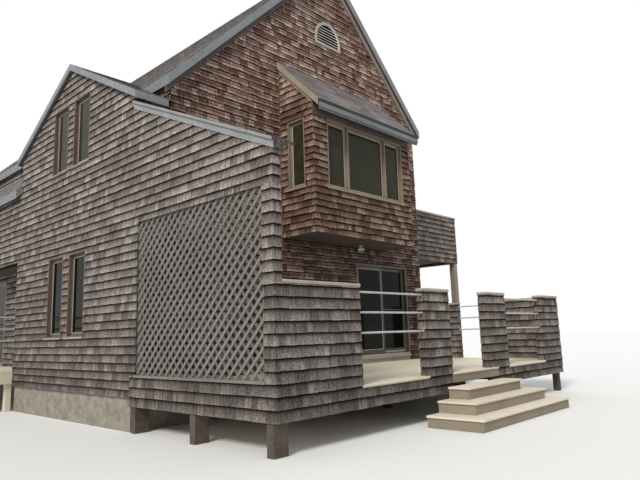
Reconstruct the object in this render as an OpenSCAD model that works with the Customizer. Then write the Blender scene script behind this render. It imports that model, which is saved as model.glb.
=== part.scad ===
/* [House] */
// Width from the outer face of the left wall to the outer face of the right wall
house_w = 7410; // [6800:10:8200]
// Depth from the front gable wall to the rear wall
house_d = 9170; // [8400:10:10500]
// Thickness of a framed and shingled wall
wall_t = 160; // [120:5:220]
// How far the main left wall stands in from the side gable wall
side_setback = 600; // [500:10:760]
// Depth of the side gable along the left wall
side_gable_d = 4460; // [4000:10:4900]
// Height of the foundation above the ground
foundation_h = 470; // [300:10:560]
// Thickness of the foundation wall
foundation_t = 240; // [220:10:320]
// How far the foundation stands in from the wall faces
foundation_inset = 30; // [10:5:50]
// Height of the ground floor above the ground
floor_z = 760; // [700:10:860]
// Height of the upper floor above the ground
upper_floor_z = 3300; // [3240:10:3420]
// Thickness of the upper floor with its joists
upper_floor_t = 275; // [200:5:320]

/* [Main roof] */
// Distance of the ridge from the left wall face
ridge_x = 4420; // [4200:10:4600]
// Height of the ridge above the ground
ridge_z = 9330; // [9000:10:9600]
// Pitch of the main roof
roof_pitch = 45; // [43:1:47]
// Thickness of the roof with its rafters
roof_t = 120; // [90:5:160]
// How far the right eave stands out from the right wall
right_eave_out = 190; // [120:10:300]
// How far the left eave stands out from the main left wall
left_eave_out = 110; // [60:10:200]
// How far the roof stands out past a gable wall
rake_out = 90; // [60:5:140]
// Height of the lower rake board, square to the slope
rake_board_h = 80; // [50:5:120]
// Thickness of a trim board
trim_t = 25; // [18:1:35]

/* [Side gable roof] */
// Height of the side gable ridge
side_ridge_z = 6210; // [6100:10:6300]
// Pitch of the side gable roof
side_pitch = 28; // [26:1:30]
// Thickness of the side gable roof
side_roof_t = 100; // [80:5:120]
// How far the side gable roof stands out from the left wall
side_rake_out = 60; // [40:5:100]
// How far its eaves stand out along the left wall
side_eave_out = 130; // [80:10:180]
// Height of the low roof over the porch where it meets the main wall
pent_top_z = 5030; // [4900:10:5060]
// How far the low roof stands out from the left wall
pent_out = 120; // [80:10:200]

/* [Porch] */
// Height of the underside of the wall over the porch
porch_head_z = 2850; // [2780:10:2950]
// Width of the side deck beyond the left wall
side_deck_w = 1500; // [1100:10:1800]
// Height of the fascia of the side deck
side_fascia_h = 250; // [180:10:300]
// Distance of the porch door's far edge from the back of the house
porch_door_back = 500; // [300:10:1200]
// Width of a square pier at the side deck's corners
side_pier_w = 160; // [120:5:200]

/* [Front deck] */
// Width of the front deck
deck_w = 7750; // [7600:10:8300]
// Depth of the front deck from its front edge to the gable wall
deck_d = 3030; // [2700:10:3400]
// Height of the deck boards above the ground
deck_top = 630; // [580:10:700]
// Thickness of the deck boards
board_t = 40; // [25:1:50]
// Height of the shingled skirt below the deck
skirt_h = 275; // [220:5:360]
// Height of the fascia under the deck's edge at the steps
fascia_h = 105; // [80:5:130]
// How far the edge board at the steps runs on in front of the right pier
fascia_over = 220; // [0:10:300]
// Width of a deck joist
joist_w = 50; // [38:1:75]
// Height of a deck joist
joist_h = 190; // [140:5:240]
// Width of a square deck post
deck_post_w = 110; // [90:5:150]

/* [Parapets] */
// Height of the parapets above the deck, with their cap
parapet_h = 1240; // [1000:10:1300]
// Thickness of a parapet
parapet_t = 120; // [100:5:200]
// Length of the left parapet from the corner
parapet_w = 1415; // [1200:5:1700]
// Width of the pier on the left of the steps
pier_a_w = 610; // [560:5:760]
// Width of the pier on the right of the steps
pier_b_w = 660; // [560:5:760]
// Width of each opening closed by rails on the left of the steps
rail_bay_w = 1500; // [1300:10:1700]
// Width of the opening at the steps
step_gap_w = 1205; // [1000:5:1400]
// Width of the front leg of the corner pier
corner_pier_w = 800; // [700:10:900]
// Length of the side leg of the corner pier
corner_return_d = 1050; // [900:10:1200]
// Length of the pier beside the house
back_pier_d = 810; // [700:10:900]
// Thickness of a parapet cap
cap_t = 38; // [25:1:45]
// How far a cap stands out all round
cap_out = 25; // [10:1:40]
// Outer diameter of a pipe rail
rail_d = 27; // [24:1:45]
// Height of the top rail's axis below the parapet top
rail_drop = 95; // [60:5:140]
// Distance between rails
rail_pitch = 258; // [220:2:300]
// Distance between the side deck's rails
side_rail_pitch = 226; // [200:2:270]

/* [Screen wall] */
// Thickness of the screen wall
screen_t = 100; // [80:5:160]
// Width of its corner post
screen_post_w = 180; // [150:5:240]
// Height of the lattice sill above the ground
lattice_z0 = 770; // [720:10:900]
// Height of the lattice head above the ground
lattice_z1 = 2937; // [2800:1:3000]
// Height of the screen wall at its front end
screen_low_z = 3435; // [3300:5:3500]
// Height of the screen wall where it meets the house
screen_high_z = 4795; // [4650:5:4800]
// Height of the boards along its raked top
screen_board_h = 90; // [60:5:140]
// Thickness of its raked cap
screen_cap_t = 38; // [25:1:50]
// Width of the raked cap
screen_cap_w = 360; // [240:5:420]
// How far the raked cap stands out in front
screen_cap_out = 60; // [30:5:100]
// Width of the strip of wall behind the lattice
screen_strip_w = 150; // [60:5:200]
// Width of a lattice slat
slat_w = 40; // [34:1:44]
// Thickness of a lattice slat
slat_t = 8; // [6:1:12]
// Distance between slats, square to them
slat_pitch = 103; // [95:1:115]
// How far the lattice is set in from the wall's face
lattice_set = 15; // [5:5:60]

/* [Windows] */
// Width of a plain window
window_w = 605; // [540:5:680]
// Height of a lower window
window_h = 1400; // [1200:10:1500]
// Height of the lower window sills above the ground
window_z = 1340; // [1250:10:1450]
// Height of an upper window
upper_window_h = 1230; // [1000:10:1260]
// Height of the upper window sills above the ground
upper_window_z = 4270; // [4150:10:4300]
// Distance between the two windows of a pair
window_gap = 232; // [160:2:300]
// Distance of the right wall's first window from the front wall
right_window_in = 5040; // [4600:10:5400]
// Distance between the right wall's windows, from edge to edge
right_window_pitch = 2300; // [1500:10:2500]
// Distance of the rear windows from the ridge line
rear_window_off = 1400; // [900:10:1900]
// Thickness of the liner round a window
liner_t = 22; // [15:1:30]
// Depth of the liner in its wall
liner_d = 110; // [90:5:115]
// How far the liner stands out past the wall
liner_out = 14; // [8:1:20]
// Width of a sash's members
sash_w = 42; // [34:1:50]
// Thickness of a sash
sash_t = 40; // [34:1:44]
// How far a sash is set back from the wall's face
sash_set = 45; // [30:1:48]
// Thickness of a pane of double glass
glass_t = 20; // [12:1:28]

/* [Sliding door] */
// Width of the sliding door with its frame
door_w = 1800; // [1700:10:1900]
// Height of the sliding door with its frame
door_h = 1950; // [1900:10:1980]
// Distance of the door frame from the right wall face
door_right = 550; // [450:10:700]
// Width of the door frame's members
frame_w = 45; // [35:1:60]
// Thickness of the sill under the door
sill_t = 45; // [30:1:60]
// How far a sill stands out from its wall
sill_out = 35; // [20:1:50]
// Thickness of a door panel
panel_t = 36; // [30:1:40]
// Width of a door panel's stiles and top rail
stile_w = 60; // [50:1:75]
// Height of a door panel's bottom rail
bottom_rail_h = 90; // [75:1:110]
// Height of the sliding panel's middle bar
mid_bar_h = 28; // [20:1:40]
// Height of that bar above the floor
mid_bar_up = 988; // [850:2:1100]
// Running clearance round the sliding panel
run_gap = 6; // [5:1:8]
// Height of the track under the sliding panel
track_h = 9; // [7:1:12]
// Clearance between the sliding panel and its track
track_gap = 0.3; // [0.2:0.1:0.8]

/* [Bay] */
// Distance of the bay from the left wall face
bay_x = 2980; // [2800:10:3100]
// Width of the bay
bay_w = 2940; // [2900:10:3140]
// How far the bay stands out from the gable wall
bay_out = 860; // [700:10:1000]
// Thickness of a bay wall
bay_wall_t = 130; // [115:5:160]
// Height of the bay roof where it meets the gable wall
bay_roof_z = 6470; // [6350:10:6550]
// How far the bay roof stands out past the bay's front
bay_eave_out = 225; // [150:5:260]
// How far the bay roof stands out past the bay's sides
bay_rake_out = 35; // [25:5:110]
// Thickness of the bay roof
bay_roof_t = 100; // [90:5:140]
// Height of the boards on the bay's sides, under its roof
bay_frieze_h = 75; // [50:5:110]
// Height of the lower board along the bay's eave
bay_eave_board_h = 50; // [30:5:80]
// Width of the bay's triple window
bay_window_w = 2320; // [2100:10:2400]
// Distance of that window from the bay's left corner
bay_window_in = 360; // [300:10:400]
// Width of each side casement
casement_w = 580; // [500:10:680]
// Height of the bay's window sills above the ground
bay_sill_z = 3880; // [3800:10:3950]
// Height of the bay's windows
bay_window_h = 1290; // [1200:10:1340]
// Width of the windows in the bay's sides
bay_side_window_w = 430; // [360:10:480]

/* [Gable vent] */
// Width of the arched vent with its trim
vent_w = 786; // [600:2:900]
// Height of the vent's sill above the ground
vent_z = 7285; // [7200:5:7400]
// Height of the straight part of the vent's sides
vent_leg_h = 168; // [120:2:260]
// Width of the vent's trim
vent_trim_w = 55; // [40:1:80]
// Distance between louvres
louvre_pitch = 62; // [50:1:80]
// Thickness of a louvre
louvre_t = 12; // [8:1:18]
// Depth of a louvre
louvre_d = 60; // [40:2:80]
// Slope of a louvre
louvre_angle = 38; // [30:1:45]
// How far the louvres are let into the trim
louvre_seat = 10; // [6:1:16]
// Room for the louvres' ends in the wall's opening
louvre_room = 4; // [2:1:8]

/* [Balcony] */
// How far the balcony stands out from the right wall
balcony_w = 1790; // [1500:10:2000]
// Depth of the balcony
balcony_d = 2600; // [2200:10:3000]
// Height of the underside of the balcony's parapet
balcony_z0 = 2960; // [2900:10:3020]
// Height of the top of the balcony's parapet
balcony_z1 = 4170; // [4100:10:4300]
// Thickness of the balcony's parapet
balcony_wall_t = 120; // [100:5:150]
// Width of a square balcony post
balcony_post_w = 140; // [110:5:180]
// How far the balcony's underside is set up inside its parapet
balcony_soffit_up = 60; // [40:5:100]
// Distance of the balcony door from the front wall
balcony_door_in = 660; // [400:10:900]
// Height of the balcony door
balcony_door_h = 2000; // [1900:10:2050]
// Width of the balcony door
balcony_door_w = 1500; // [1200:10:1700]

/* [Steps] */
// Rise of the lower steps
step_rise = 157; // [150:1:165]
// Going of the lower steps
step_going = 250; // [230:10:330]
// Depth of the top step
top_step_d = 330; // [300:10:420]
// Width of the top step
top_step_w = 1680; // [1500:10:1850]
// How much further each lower step stands out at the sides
step_side = 290; // [230:10:330]
// Distance of the steps from the deck's front
step_back = 190; // [150:10:260]
// Distance of the steps' middle from the left wall face
step_x = 3900; // [3800:10:4200]
// Thickness of a tread
tread_t = 38; // [30:1:45]
// How far a tread stands out past its riser
nosing = 25; // [15:1:35]
// Thickness of a riser board
riser_t = 38; // [25:1:45]

/* [Hidden] */
$fn = 48;
eps = 1;

// Depths and places along the house, measured from the front edge of the deck
front_y = deck_d;
rear_y = deck_d + house_d;
inner_front_y = front_y + wall_t;
inner_rear_y = rear_y - wall_t;
side_gable_y = front_y + side_gable_d;
side_ridge_y = front_y + side_gable_d / 2;
inner_right_x = house_w - wall_t;

// Roof heights as functions of the distance from the ridge
roof_tv = roof_t / cos(roof_pitch);
side_roof_tv = side_roof_t / cos(side_pitch);
function roof_top(x) = ridge_z - abs(x - ridge_x) * tan(roof_pitch);
function side_roof_top(y) = side_ridge_z - abs(y - side_ridge_y) * tan(side_pitch);
left_eave_x = side_setback - left_eave_out;
right_eave_x = house_w + right_eave_out;
side_eave_y0 = front_y - side_eave_out;
side_eave_y1 = side_gable_y + side_eave_out;
side_wall_head = side_roof_top(front_y) - side_roof_tv;
function pent_top(x) = pent_top_z - (side_setback - x) * tan(roof_pitch);

// The bay, its roof and its windows
bay_y = front_y - bay_out;
bay_eave_y = bay_y - bay_eave_out;
bay_z0 = upper_floor_z - upper_floor_t;
bay_roof_tv = bay_roof_t / cos(roof_pitch);
function bay_roof_top(y) = bay_roof_z - (front_y - y) * tan(roof_pitch);
function bay_roof_under(y) = bay_roof_top(y) - bay_roof_tv;
bay_side_y = bay_y + (bay_out - bay_side_window_w) / 2;

// Where the windows of each wall start along it
pair_y = side_ridge_y - window_gap / 2 - window_w;
pair = [pair_y, pair_y + window_w + window_gap];
right_windows = [front_y + right_window_in, front_y + right_window_in + right_window_pitch];
rear_windows = [ridge_x - rear_window_off - window_w, ridge_x + rear_window_off];
porch_door_y = rear_y - porch_door_back - door_w;
balcony_door_y = front_y + balcony_door_in;

// A window as its lower left corner seen from outside, the turn that faces it, its width and
// height, and where its mullions stand
function facing_left(x, y, z, w, h, mullions = []) = [[x, y + w, z], -90, w, h, mullions];
function facing_right(x, y, z, w, h, mullions = []) = [[x, y, z], 90, w, h, mullions];
function facing_back(x, z) = [[x + window_w, rear_y, z], 180, window_w];
side_windows = concat(
    [for (y = pair) facing_left(0, y, window_z, window_w, window_h)],
    [for (y = pair) facing_left(0, y, upper_window_z, window_w, upper_window_h)]);
porch_door = facing_left(side_setback, porch_door_y, floor_z, door_w, door_h, [door_w / 2]);
right_wall_windows = concat(
    [for (y = right_windows) facing_right(house_w, y, window_z, window_w, window_h)],
    [for (y = right_windows) facing_right(house_w, y, upper_window_z, window_w, upper_window_h)],
    [facing_right(house_w, balcony_door_y, upper_floor_z, balcony_door_w, balcony_door_h,
                  [balcony_door_w / 2])]);
rear_wall_windows = concat(
    [for (x = rear_windows) concat(facing_back(x, window_z), [window_h, []])],
    [for (x = rear_windows) concat(facing_back(x, upper_window_z), [upper_window_h, []])]);
bay_windows = [
    [[bay_x + bay_window_in, bay_y, bay_sill_z], 0, bay_window_w, bay_window_h,
     [casement_w, bay_window_w - casement_w]],
    facing_left(bay_x, bay_side_y, bay_sill_z, bay_side_window_w, bay_window_h),
    facing_right(bay_x + bay_w, bay_side_y, bay_sill_z, bay_side_window_w, bay_window_h)];
all_windows = concat(side_windows, [porch_door], right_wall_windows, rear_wall_windows, bay_windows);

// The front door
door_x1 = house_w - door_right;
door_x0 = door_x1 - door_w;
door_z1 = floor_z + door_h;

// Openings in the deck's front
pier_a_x = parapet_w + rail_bay_w;
step_gap_x0 = pier_a_x + pier_a_w;
pier_b_x = step_gap_x0 + step_gap_w;
piers = [[pier_a_x, step_gap_x0], [pier_b_x, pier_b_x + pier_b_w]];
corner_x = deck_w - corner_pier_w;
back_pier_y = front_y - back_pier_d;
parapet_z = deck_top + parapet_h - cap_t;

// The model's box, whose bottom centre is the origin
low_x = -side_deck_w - cap_out;
high_x = house_w + balcony_w + cap_out;
low_y = -step_back - top_step_d - 2 * step_going;
high_y = rear_y + rake_out + trim_t;
mid_x = (low_x + high_x) / 2;
mid_y = (low_y + high_y) / 2;

cedar = "#6d5347";
weathered = "#857a70";
grey_paint = "#7f8683";
sand_paint = "#b9ad97";
asphalt = "#77766f";
pipe_grey = "#b7b9b8";
tan_wood = "#8d7560";
concrete = "#9b9484";
pane = "#3f4a4a";

module place()
{
    translate([-mid_x, -mid_y, 0])
        children();
}

// A box between two corners
module box(lo, hi)
{
    translate(lo)
        cube(hi - lo);
}

// A profile drawn across the house, running along it
module along_y(points, y0, y1)
{
    translate([0, y1, 0])
        rotate([90, 0, 0])
            linear_extrude(y1 - y0)
                polygon(points);
}

// A profile drawn along the house, running across it
module along_x(points, x0, x1)
{
    translate([x0, 0, 0])
        rotate([90, 0, 90])
            linear_extrude(x1 - x0)
                polygon(points);
}

// The ground-floor outline, set in from the wall faces
function footprint(inset) = [
    [inset, front_y + inset],
    [house_w - inset, front_y + inset],
    [house_w - inset, rear_y - inset],
    [side_setback + inset, rear_y - inset],
    [side_setback + inset, side_gable_y - inset],
    [inset, side_gable_y - inset]];

module foundation()
{
    color(concrete)
        place()
            linear_extrude(foundation_h)
                difference()
                {
                    polygon(footprint(foundation_inset));
                    polygon(footprint(foundation_inset + foundation_t));
                }
}

module ground_floor()
{
    color(tan_wood)
        place()
            translate([0, 0, foundation_h])
                linear_extrude(floor_z - foundation_h)
                    polygon(footprint(wall_t));
}

module upper_floor()
{
    color(tan_wood)
        place()
            translate([0, 0, upper_floor_z - upper_floor_t])
                linear_extrude(upper_floor_t)
                    polygon(footprint(wall_t));
}

module front_wall_left()
{
    color(weathered)
        place()
            box([0, front_y, foundation_h], [door_x0, inner_front_y, door_z1]);
}

module front_wall_right()
{
    color(cedar)
        place()
            box([door_x1, front_y, foundation_h], [house_w, inner_front_y, door_z1]);
}

module door_sill()
{
    color(sand_paint)
        place()
        {
            box([door_x0, front_y, foundation_h], [door_x1, inner_front_y, floor_z]);
            box([door_x0, front_y - sill_out, floor_z - sill_t], [door_x1, front_y, floor_z]);
        }
}

// The arched outline of the vent, grown outward
module vent_outline(grow)
{
    r = vent_w / 2 + grow;
    z0 = vent_z - grow;
    intersection()
    {
        union()
        {
            translate([ridge_x, vent_mid_z])
                circle(r);
            translate([ridge_x - r, z0])
                square([2 * r, vent_mid_z - z0]);
        }
        translate([ridge_x - r, z0])
            square([2 * r, vent_mid_z - z0 + r]);
    }
}

module gable_wall()
{
    color(cedar)
        place()
            difference()
            {
                along_y([[0, door_z1], [house_w, door_z1], [house_w, roof_top(house_w) - roof_tv],
                         [ridge_x, ridge_z - roof_tv], [side_setback, roof_top(side_setback) - roof_tv],
                         [side_setback, side_wall_head], [0, side_wall_head]],
                        front_y, inner_front_y);
                box([bay_x + bay_wall_t, front_y - eps, upper_floor_z],
                    [bay_x + bay_w - bay_wall_t, inner_front_y + eps, bay_sill_z + bay_window_h]);
                translate([0, inner_front_y + eps, 0])
                    rotate([90, 0, 0])
                        linear_extrude(wall_t + 2 * eps)
                            vent_outline(louvre_seat + louvre_room - vent_trim_w);
            }
}

// Puts its children in a window's place, with the wall's face at Y = 0 and its inside at Y > 0
module at_window(opening)
{
    translate(opening[0])
        rotate(opening[1])
            children();
}

// Holes through a wall for its windows
module window_holes(openings, thickness)
{
    for (opening = openings)
        at_window(opening)
            box([0, -eps, 0], [opening[2], thickness + eps, opening[3]]);
}

module side_gable_wall()
{
    color(weathered)
        place()
            difference()
            {
                along_x([[inner_front_y, foundation_h], [side_gable_y, foundation_h],
                         [side_gable_y, side_roof_top(side_gable_y) - side_roof_tv],
                         [side_ridge_y, side_ridge_z - side_roof_tv],
                         [inner_front_y, side_roof_top(inner_front_y) - side_roof_tv]],
                        0, wall_t);
                window_holes(side_windows, wall_t);
            }
}

// The short wall that closes the side gable towards the porch
module side_gable_return()
{
    color(weathered)
        place()
            box([wall_t, side_gable_y - wall_t, foundation_h],
                [side_setback, side_gable_y, side_wall_head]);
}

main_wall_head = roof_top(side_setback) - roof_tv;

// The wall behind the porch, and the part of it above the side gable's roof
module porch_wall()
{
    x1 = side_setback + wall_t;
    color(weathered)
        place()
        {
            difference()
            {
                along_y([[side_setback, foundation_h], [x1, foundation_h],
                         [x1, main_wall_head + wall_t * tan(roof_pitch)], [side_setback, main_wall_head]],
                        side_gable_y, inner_rear_y);
                window_holes([porch_door], wall_t);
            }
            difference()
            {
                along_y([[side_setback, side_wall_head], [x1, side_wall_head],
                         [x1, main_wall_head + wall_t * tan(roof_pitch)], [side_setback, main_wall_head]],
                        inner_front_y, side_gable_y);
                side_roof_prism(side_setback - eps, x1 + eps);
            }
        }
}

module porch_soffit()
{
    color(grey_paint)
        place()
            box([wall_t, side_gable_y, porch_head_z], [side_setback, inner_rear_y, bay_z0]);
}

module overhang_wall()
{
    color(weathered)
        place()
            along_y([[0, porch_head_z], [wall_t, porch_head_z],
                     [wall_t, pent_top(wall_t) - roof_tv], [0, pent_top(0) - roof_tv]],
                    side_gable_y, inner_rear_y);
}

module right_wall()
{
    color(cedar)
        place()
            difference()
            {
                along_y([[inner_right_x, foundation_h], [house_w, foundation_h],
                         [house_w, roof_top(house_w) - roof_tv],
                         [inner_right_x, roof_top(inner_right_x) - roof_tv]],
                        inner_front_y, inner_rear_y);
                window_holes(right_wall_windows, wall_t);
            }
}

module rear_wall()
{
    color(cedar)
        place()
            difference()
            {
                along_y([[side_setback, foundation_h], [house_w, foundation_h],
                         [house_w, roof_top(house_w) - roof_tv], [ridge_x, ridge_z - roof_tv],
                         [side_setback, main_wall_head],
                         [side_setback, pent_top(side_setback) - roof_tv], [0, pent_top(0) - roof_tv],
                         [0, porch_head_z], [side_setback, porch_head_z]],
                        inner_rear_y, rear_y);
                window_holes(rear_wall_windows, wall_t);
            }
}

// Everything below the top of the side gable roof
module side_roof_prism(x0, x1)
{
    along_x([[side_eave_y0, side_roof_top(side_eave_y0)], [side_ridge_y, side_ridge_z],
             [side_eave_y1, side_roof_top(side_eave_y1)], [side_eave_y1, 0], [side_eave_y0, 0]],
            x0, x1);
}

module main_roof_left()
{
    color(asphalt)
        place()
            difference()
            {
                along_y([[ridge_x, ridge_z], [left_eave_x, roof_top(left_eave_x)],
                         [left_eave_x, roof_top(left_eave_x) - roof_tv], [ridge_x, ridge_z - roof_tv]],
                        front_y - rake_out, rear_y + rake_out);
                side_roof_prism(left_eave_x - eps, ridge_x - eps);
            }
}

module main_roof_right()
{
    color(asphalt)
        place()
            along_y([[ridge_x, ridge_z], [ridge_x, ridge_z - roof_tv],
                     [right_eave_x, roof_top(right_eave_x) - roof_tv],
                     [right_eave_x, roof_top(right_eave_x)]],
                    front_y - rake_out, rear_y + rake_out);
}

// The space under the main roof, behind its left eave
module under_main_roof()
{
    along_y([[left_eave_x, roof_top(left_eave_x) - roof_tv], [ridge_x, ridge_z - roof_tv], [ridge_x, 0],
             [left_eave_x, 0]],
            0, rear_y);
}

// The space above the main roof is where the side gable roof shows
side_roof_x1 = ridge_x - (ridge_z - side_ridge_z) / tan(roof_pitch);

// One slope of the side gable roof, seen along the house
function side_roof_profile(y_eave) = [
    [side_ridge_y, side_ridge_z],
    [y_eave, side_roof_top(y_eave)],
    [y_eave, side_roof_top(y_eave) - side_roof_tv],
    [side_ridge_y, side_ridge_z - side_roof_tv]];

module side_roof_slope(y_eave)
{
    color(asphalt)
        place()
            intersection()
            {
                difference()
                {
                    along_x(side_roof_profile(y_eave), -side_rake_out, side_roof_x1 + roof_tv);
                    under_main_roof();
                }
                along_y([[-side_rake_out - eps, 0], [left_eave_x, 0],
                         [left_eave_x, roof_top(left_eave_x) - roof_tv], [ridge_x, ridge_z - roof_tv],
                         [ridge_x, ridge_z + eps], [-side_rake_out - eps, ridge_z + eps]],
                        0, rear_y);
            }
}

module side_roof_front()
{
    side_roof_slope(side_eave_y0);
}

module side_roof_rear()
{
    side_roof_slope(side_eave_y1);
}

module pent_roof()
{
    color(asphalt)
        place()
            difference()
            {
                along_y([[side_setback, pent_top(side_setback)], [-pent_out, pent_top(-pent_out)],
                         [-pent_out, pent_top(-pent_out) - roof_tv],
                         [side_setback, pent_top(side_setback) - roof_tv]],
                        side_gable_y, rear_y + rake_out);
                along_x(side_roof_profile(side_eave_y1), -pent_out, side_setback + eps);
            }
}

// A board that follows one slope of the main roof, from a depth below its top
module main_rake(x_end, depth0, depth1, y0, y1)
{
    d0 = depth0 / cos(roof_pitch);
    d1 = depth1 / cos(roof_pitch);
    along_y([[ridge_x, ridge_z - d0], [x_end, roof_top(x_end) - d0], [x_end, roof_top(x_end) - d1],
             [ridge_x, ridge_z - d1]],
            y0, y1);
}

module main_roof_trim()
{
    color(grey_paint)
        place()
            for (x_end = [left_eave_x, right_eave_x])
            {
                main_rake(x_end, 0, roof_t, front_y - rake_out - trim_t, front_y - rake_out);
                main_rake(x_end, 0, roof_t, rear_y + rake_out, rear_y + rake_out + trim_t);
                main_rake(x_end, roof_t, roof_t + rake_board_h, front_y - 2 * trim_t, front_y);
                main_rake(x_end, roof_t, roof_t + rake_board_h, rear_y, rear_y + 2 * trim_t);
            }
}

module side_roof_trim()
{
    color(grey_paint)
        place()
            for (y_eave = [side_eave_y0, side_eave_y1])
                along_x(side_roof_profile(y_eave), -side_rake_out - trim_t, -side_rake_out);
}

vent_r = vent_w / 2 - vent_trim_w;
vent_mid_z = vent_z + vent_leg_h;
louvre_lift = louvre_d * tan(louvre_angle);
louvre_h = louvre_lift + louvre_t;
louvre_z0 = vent_z + vent_trim_w - louvre_t;
louvres = floor((vent_mid_z + vent_r - louvre_h - louvre_z0) / louvre_pitch);

// One sloping louvre board, low edge to the front
module louvre(z)
{
    y0 = front_y - trim_t / 2;
    y1 = y0 + louvre_d;
    along_x([[y0, z], [y1, z + louvre_lift], [y1, z + louvre_h], [y0, z + louvre_t]],
            ridge_x - vent_w / 2, ridge_x + vent_w / 2);
}

module gable_vent()
{
    color(grey_paint)
        place()
        {
            translate([0, front_y, 0])
                rotate([90, 0, 0])
                    linear_extrude(trim_t)
                        difference()
                        {
                            vent_outline(0);
                            vent_outline(-vent_trim_w);
                        }
            intersection()
            {
                translate([0, front_y + louvre_d, 0])
                    rotate([90, 0, 0])
                        linear_extrude(louvre_d + trim_t)
                            vent_outline(louvre_seat - vent_trim_w);
                union()
                    for (i = [0 : louvres])
                        louvre(louvre_z0 + i * louvre_pitch);
            }
        }
}

module bay_floor()
{
    color(grey_paint)
        place()
            box([bay_x, bay_y, bay_z0], [bay_x + bay_w, front_y, upper_floor_z]);
}

// One side wall of the bay, under the slope of its roof
module bay_side(x0)
{
    along_x([[bay_y, upper_floor_z], [front_y, upper_floor_z], [front_y, bay_roof_under(front_y)],
             [bay_y, bay_roof_under(bay_y)]],
            x0, x0 + bay_wall_t);
}

module bay_walls()
{
    inner_y = bay_y + bay_wall_t;
    color(cedar)
        place()
            difference()
            {
                union()
                {
                    bay_side(bay_x);
                    bay_side(bay_x + bay_w - bay_wall_t);
                    along_x([[bay_y, upper_floor_z], [inner_y, upper_floor_z],
                             [inner_y, bay_roof_under(inner_y)], [bay_y, bay_roof_under(bay_y)]],
                            bay_x + bay_wall_t, bay_x + bay_w - bay_wall_t);
                }
                window_holes(bay_windows, bay_wall_t);
            }
}

// The bay roof's cross-section along its slope
bay_roof_profile = [
    [front_y, bay_roof_top(front_y)],
    [bay_eave_y, bay_roof_top(bay_eave_y)],
    [bay_eave_y, bay_roof_under(bay_eave_y)],
    [front_y, bay_roof_under(front_y)]];

module bay_roof()
{
    color(asphalt)
        place()
            along_x(bay_roof_profile, bay_x - bay_rake_out, bay_x + bay_w + bay_rake_out);
}

// Rakes beside the bay's roof, a stepped fascia along its eave, and boards under it on the walls
module bay_roof_trim()
{
    rake_x = [bay_x - bay_rake_out - trim_t, bay_x + bay_w + bay_rake_out];
    low = bay_roof_under(bay_eave_y);
    lap = bay_eave_board_h / 4;
    color(grey_paint)
        place()
        {
            for (x = rake_x)
                along_x(bay_roof_profile, x, x + trim_t);
            along_x([[bay_eave_y - trim_t, bay_roof_top(bay_eave_y)],
                     [bay_eave_y, bay_roof_top(bay_eave_y)],
                     [bay_eave_y, low], [bay_eave_y + trim_t, bay_roof_under(bay_eave_y + trim_t)],
                     [bay_eave_y + trim_t, low - bay_eave_board_h], [bay_eave_y, low - bay_eave_board_h],
                     [bay_eave_y, low - lap], [bay_eave_y - trim_t, low - lap]],
                    rake_x[0], rake_x[1] + trim_t);
            for (x = [bay_x - trim_t, bay_x + bay_w])
                along_x([[front_y, bay_roof_under(front_y)], [bay_y, bay_roof_under(bay_y)],
                         [bay_y, bay_roof_under(bay_y) - bay_frieze_h],
                         [front_y, bay_roof_under(front_y) - bay_frieze_h]],
                        x, x + trim_t);
        }
}

// Where a window's lights lie between its liner and mullions
function lights(opening) =
    let (posts = concat([0], opening[4], [opening[2]]), last = len(posts) - 2)
    [for (i = [0 : last])
        [posts[i] + (i == 0 ? liner_t : liner_t / 2),
         posts[i + 1] - (i == last ? liner_t : liner_t / 2)]];

// A window's liner with a sash set back in each light
module window_frame(opening)
{
    z0 = liner_t;
    z1 = opening[3] - liner_t;
    sash_y1 = sash_set + sash_t;
    at_window(opening)
        difference()
        {
            box([0, -liner_out, 0], [opening[2], liner_d, opening[3]]);
            for (light = lights(opening))
            {
                box([light[0], -liner_out - eps, z0], [light[1], sash_set, z1]);
                box([light[0], sash_y1, z0], [light[1], liner_d + eps, z1]);
                box([light[0] + sash_w, sash_set - eps, z0 + sash_w],
                    [light[1] - sash_w, sash_y1 + eps, z1 - sash_w]);
            }
        }
}

module window_frames()
{
    color(tan_wood)
        place()
            for (opening = all_windows)
                window_frame(opening);
}

// The panes that fill a window's sashes
module window_panes(opening)
{
    y0 = sash_set + (sash_t - glass_t) / 2;
    edge = liner_t + sash_w;
    at_window(opening)
        for (light = lights(opening))
            box([light[0] + sash_w, y0, edge], [light[1] - sash_w, y0 + glass_t, opening[3] - edge]);
}

module window_glass()
{
    color(pane)
        place()
        {
            for (opening = all_windows)
                window_panes(opening);
            door_pane(fixed_x0, fixed_x0 + panel_w, fixed_y, fixed_z0 + bottom_rail_h,
                      fixed_z1 - stile_w);
        }
}

skirt_z = deck_top - skirt_h;
screen_slope = (screen_high_z - screen_low_z) / front_y;

// A band along the raked top of the screen wall, between two depths below its top
module screen_rake(depth0, depth1, x0, x1)
{
    low = screen_low_z - screen_cap_out * screen_slope;
    along_x([[-screen_cap_out, low - depth0], [front_y, screen_high_z - depth0],
             [front_y, screen_high_z - depth1], [-screen_cap_out, low - depth1]],
            x0, x1);
}

module screen_wall()
{
    color(weathered)
        place()
            difference()
            {
                along_x([[0, skirt_z], [front_y, skirt_z], [front_y, screen_high_z], [0, screen_low_z]],
                        0, screen_t);
                box([-eps, screen_post_w, lattice_z0],
                    [screen_t + eps, front_y - screen_strip_w, lattice_z1]);
            }
}

module screen_cap()
{
    color(grey_paint)
        place()
        {
            screen_rake(-screen_cap_t, 0, -2 * trim_t, screen_cap_w - 2 * trim_t);
            difference()
            {
                screen_rake(0, screen_board_h, -trim_t, screen_t + trim_t);
                box([0, 0, skirt_z], [screen_t, front_y + eps, screen_high_z]);
            }
        }
}

lattice_w = front_y - screen_post_w - screen_strip_w;
lattice_h = lattice_z1 - lattice_z0;
panel_count = 3;

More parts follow.
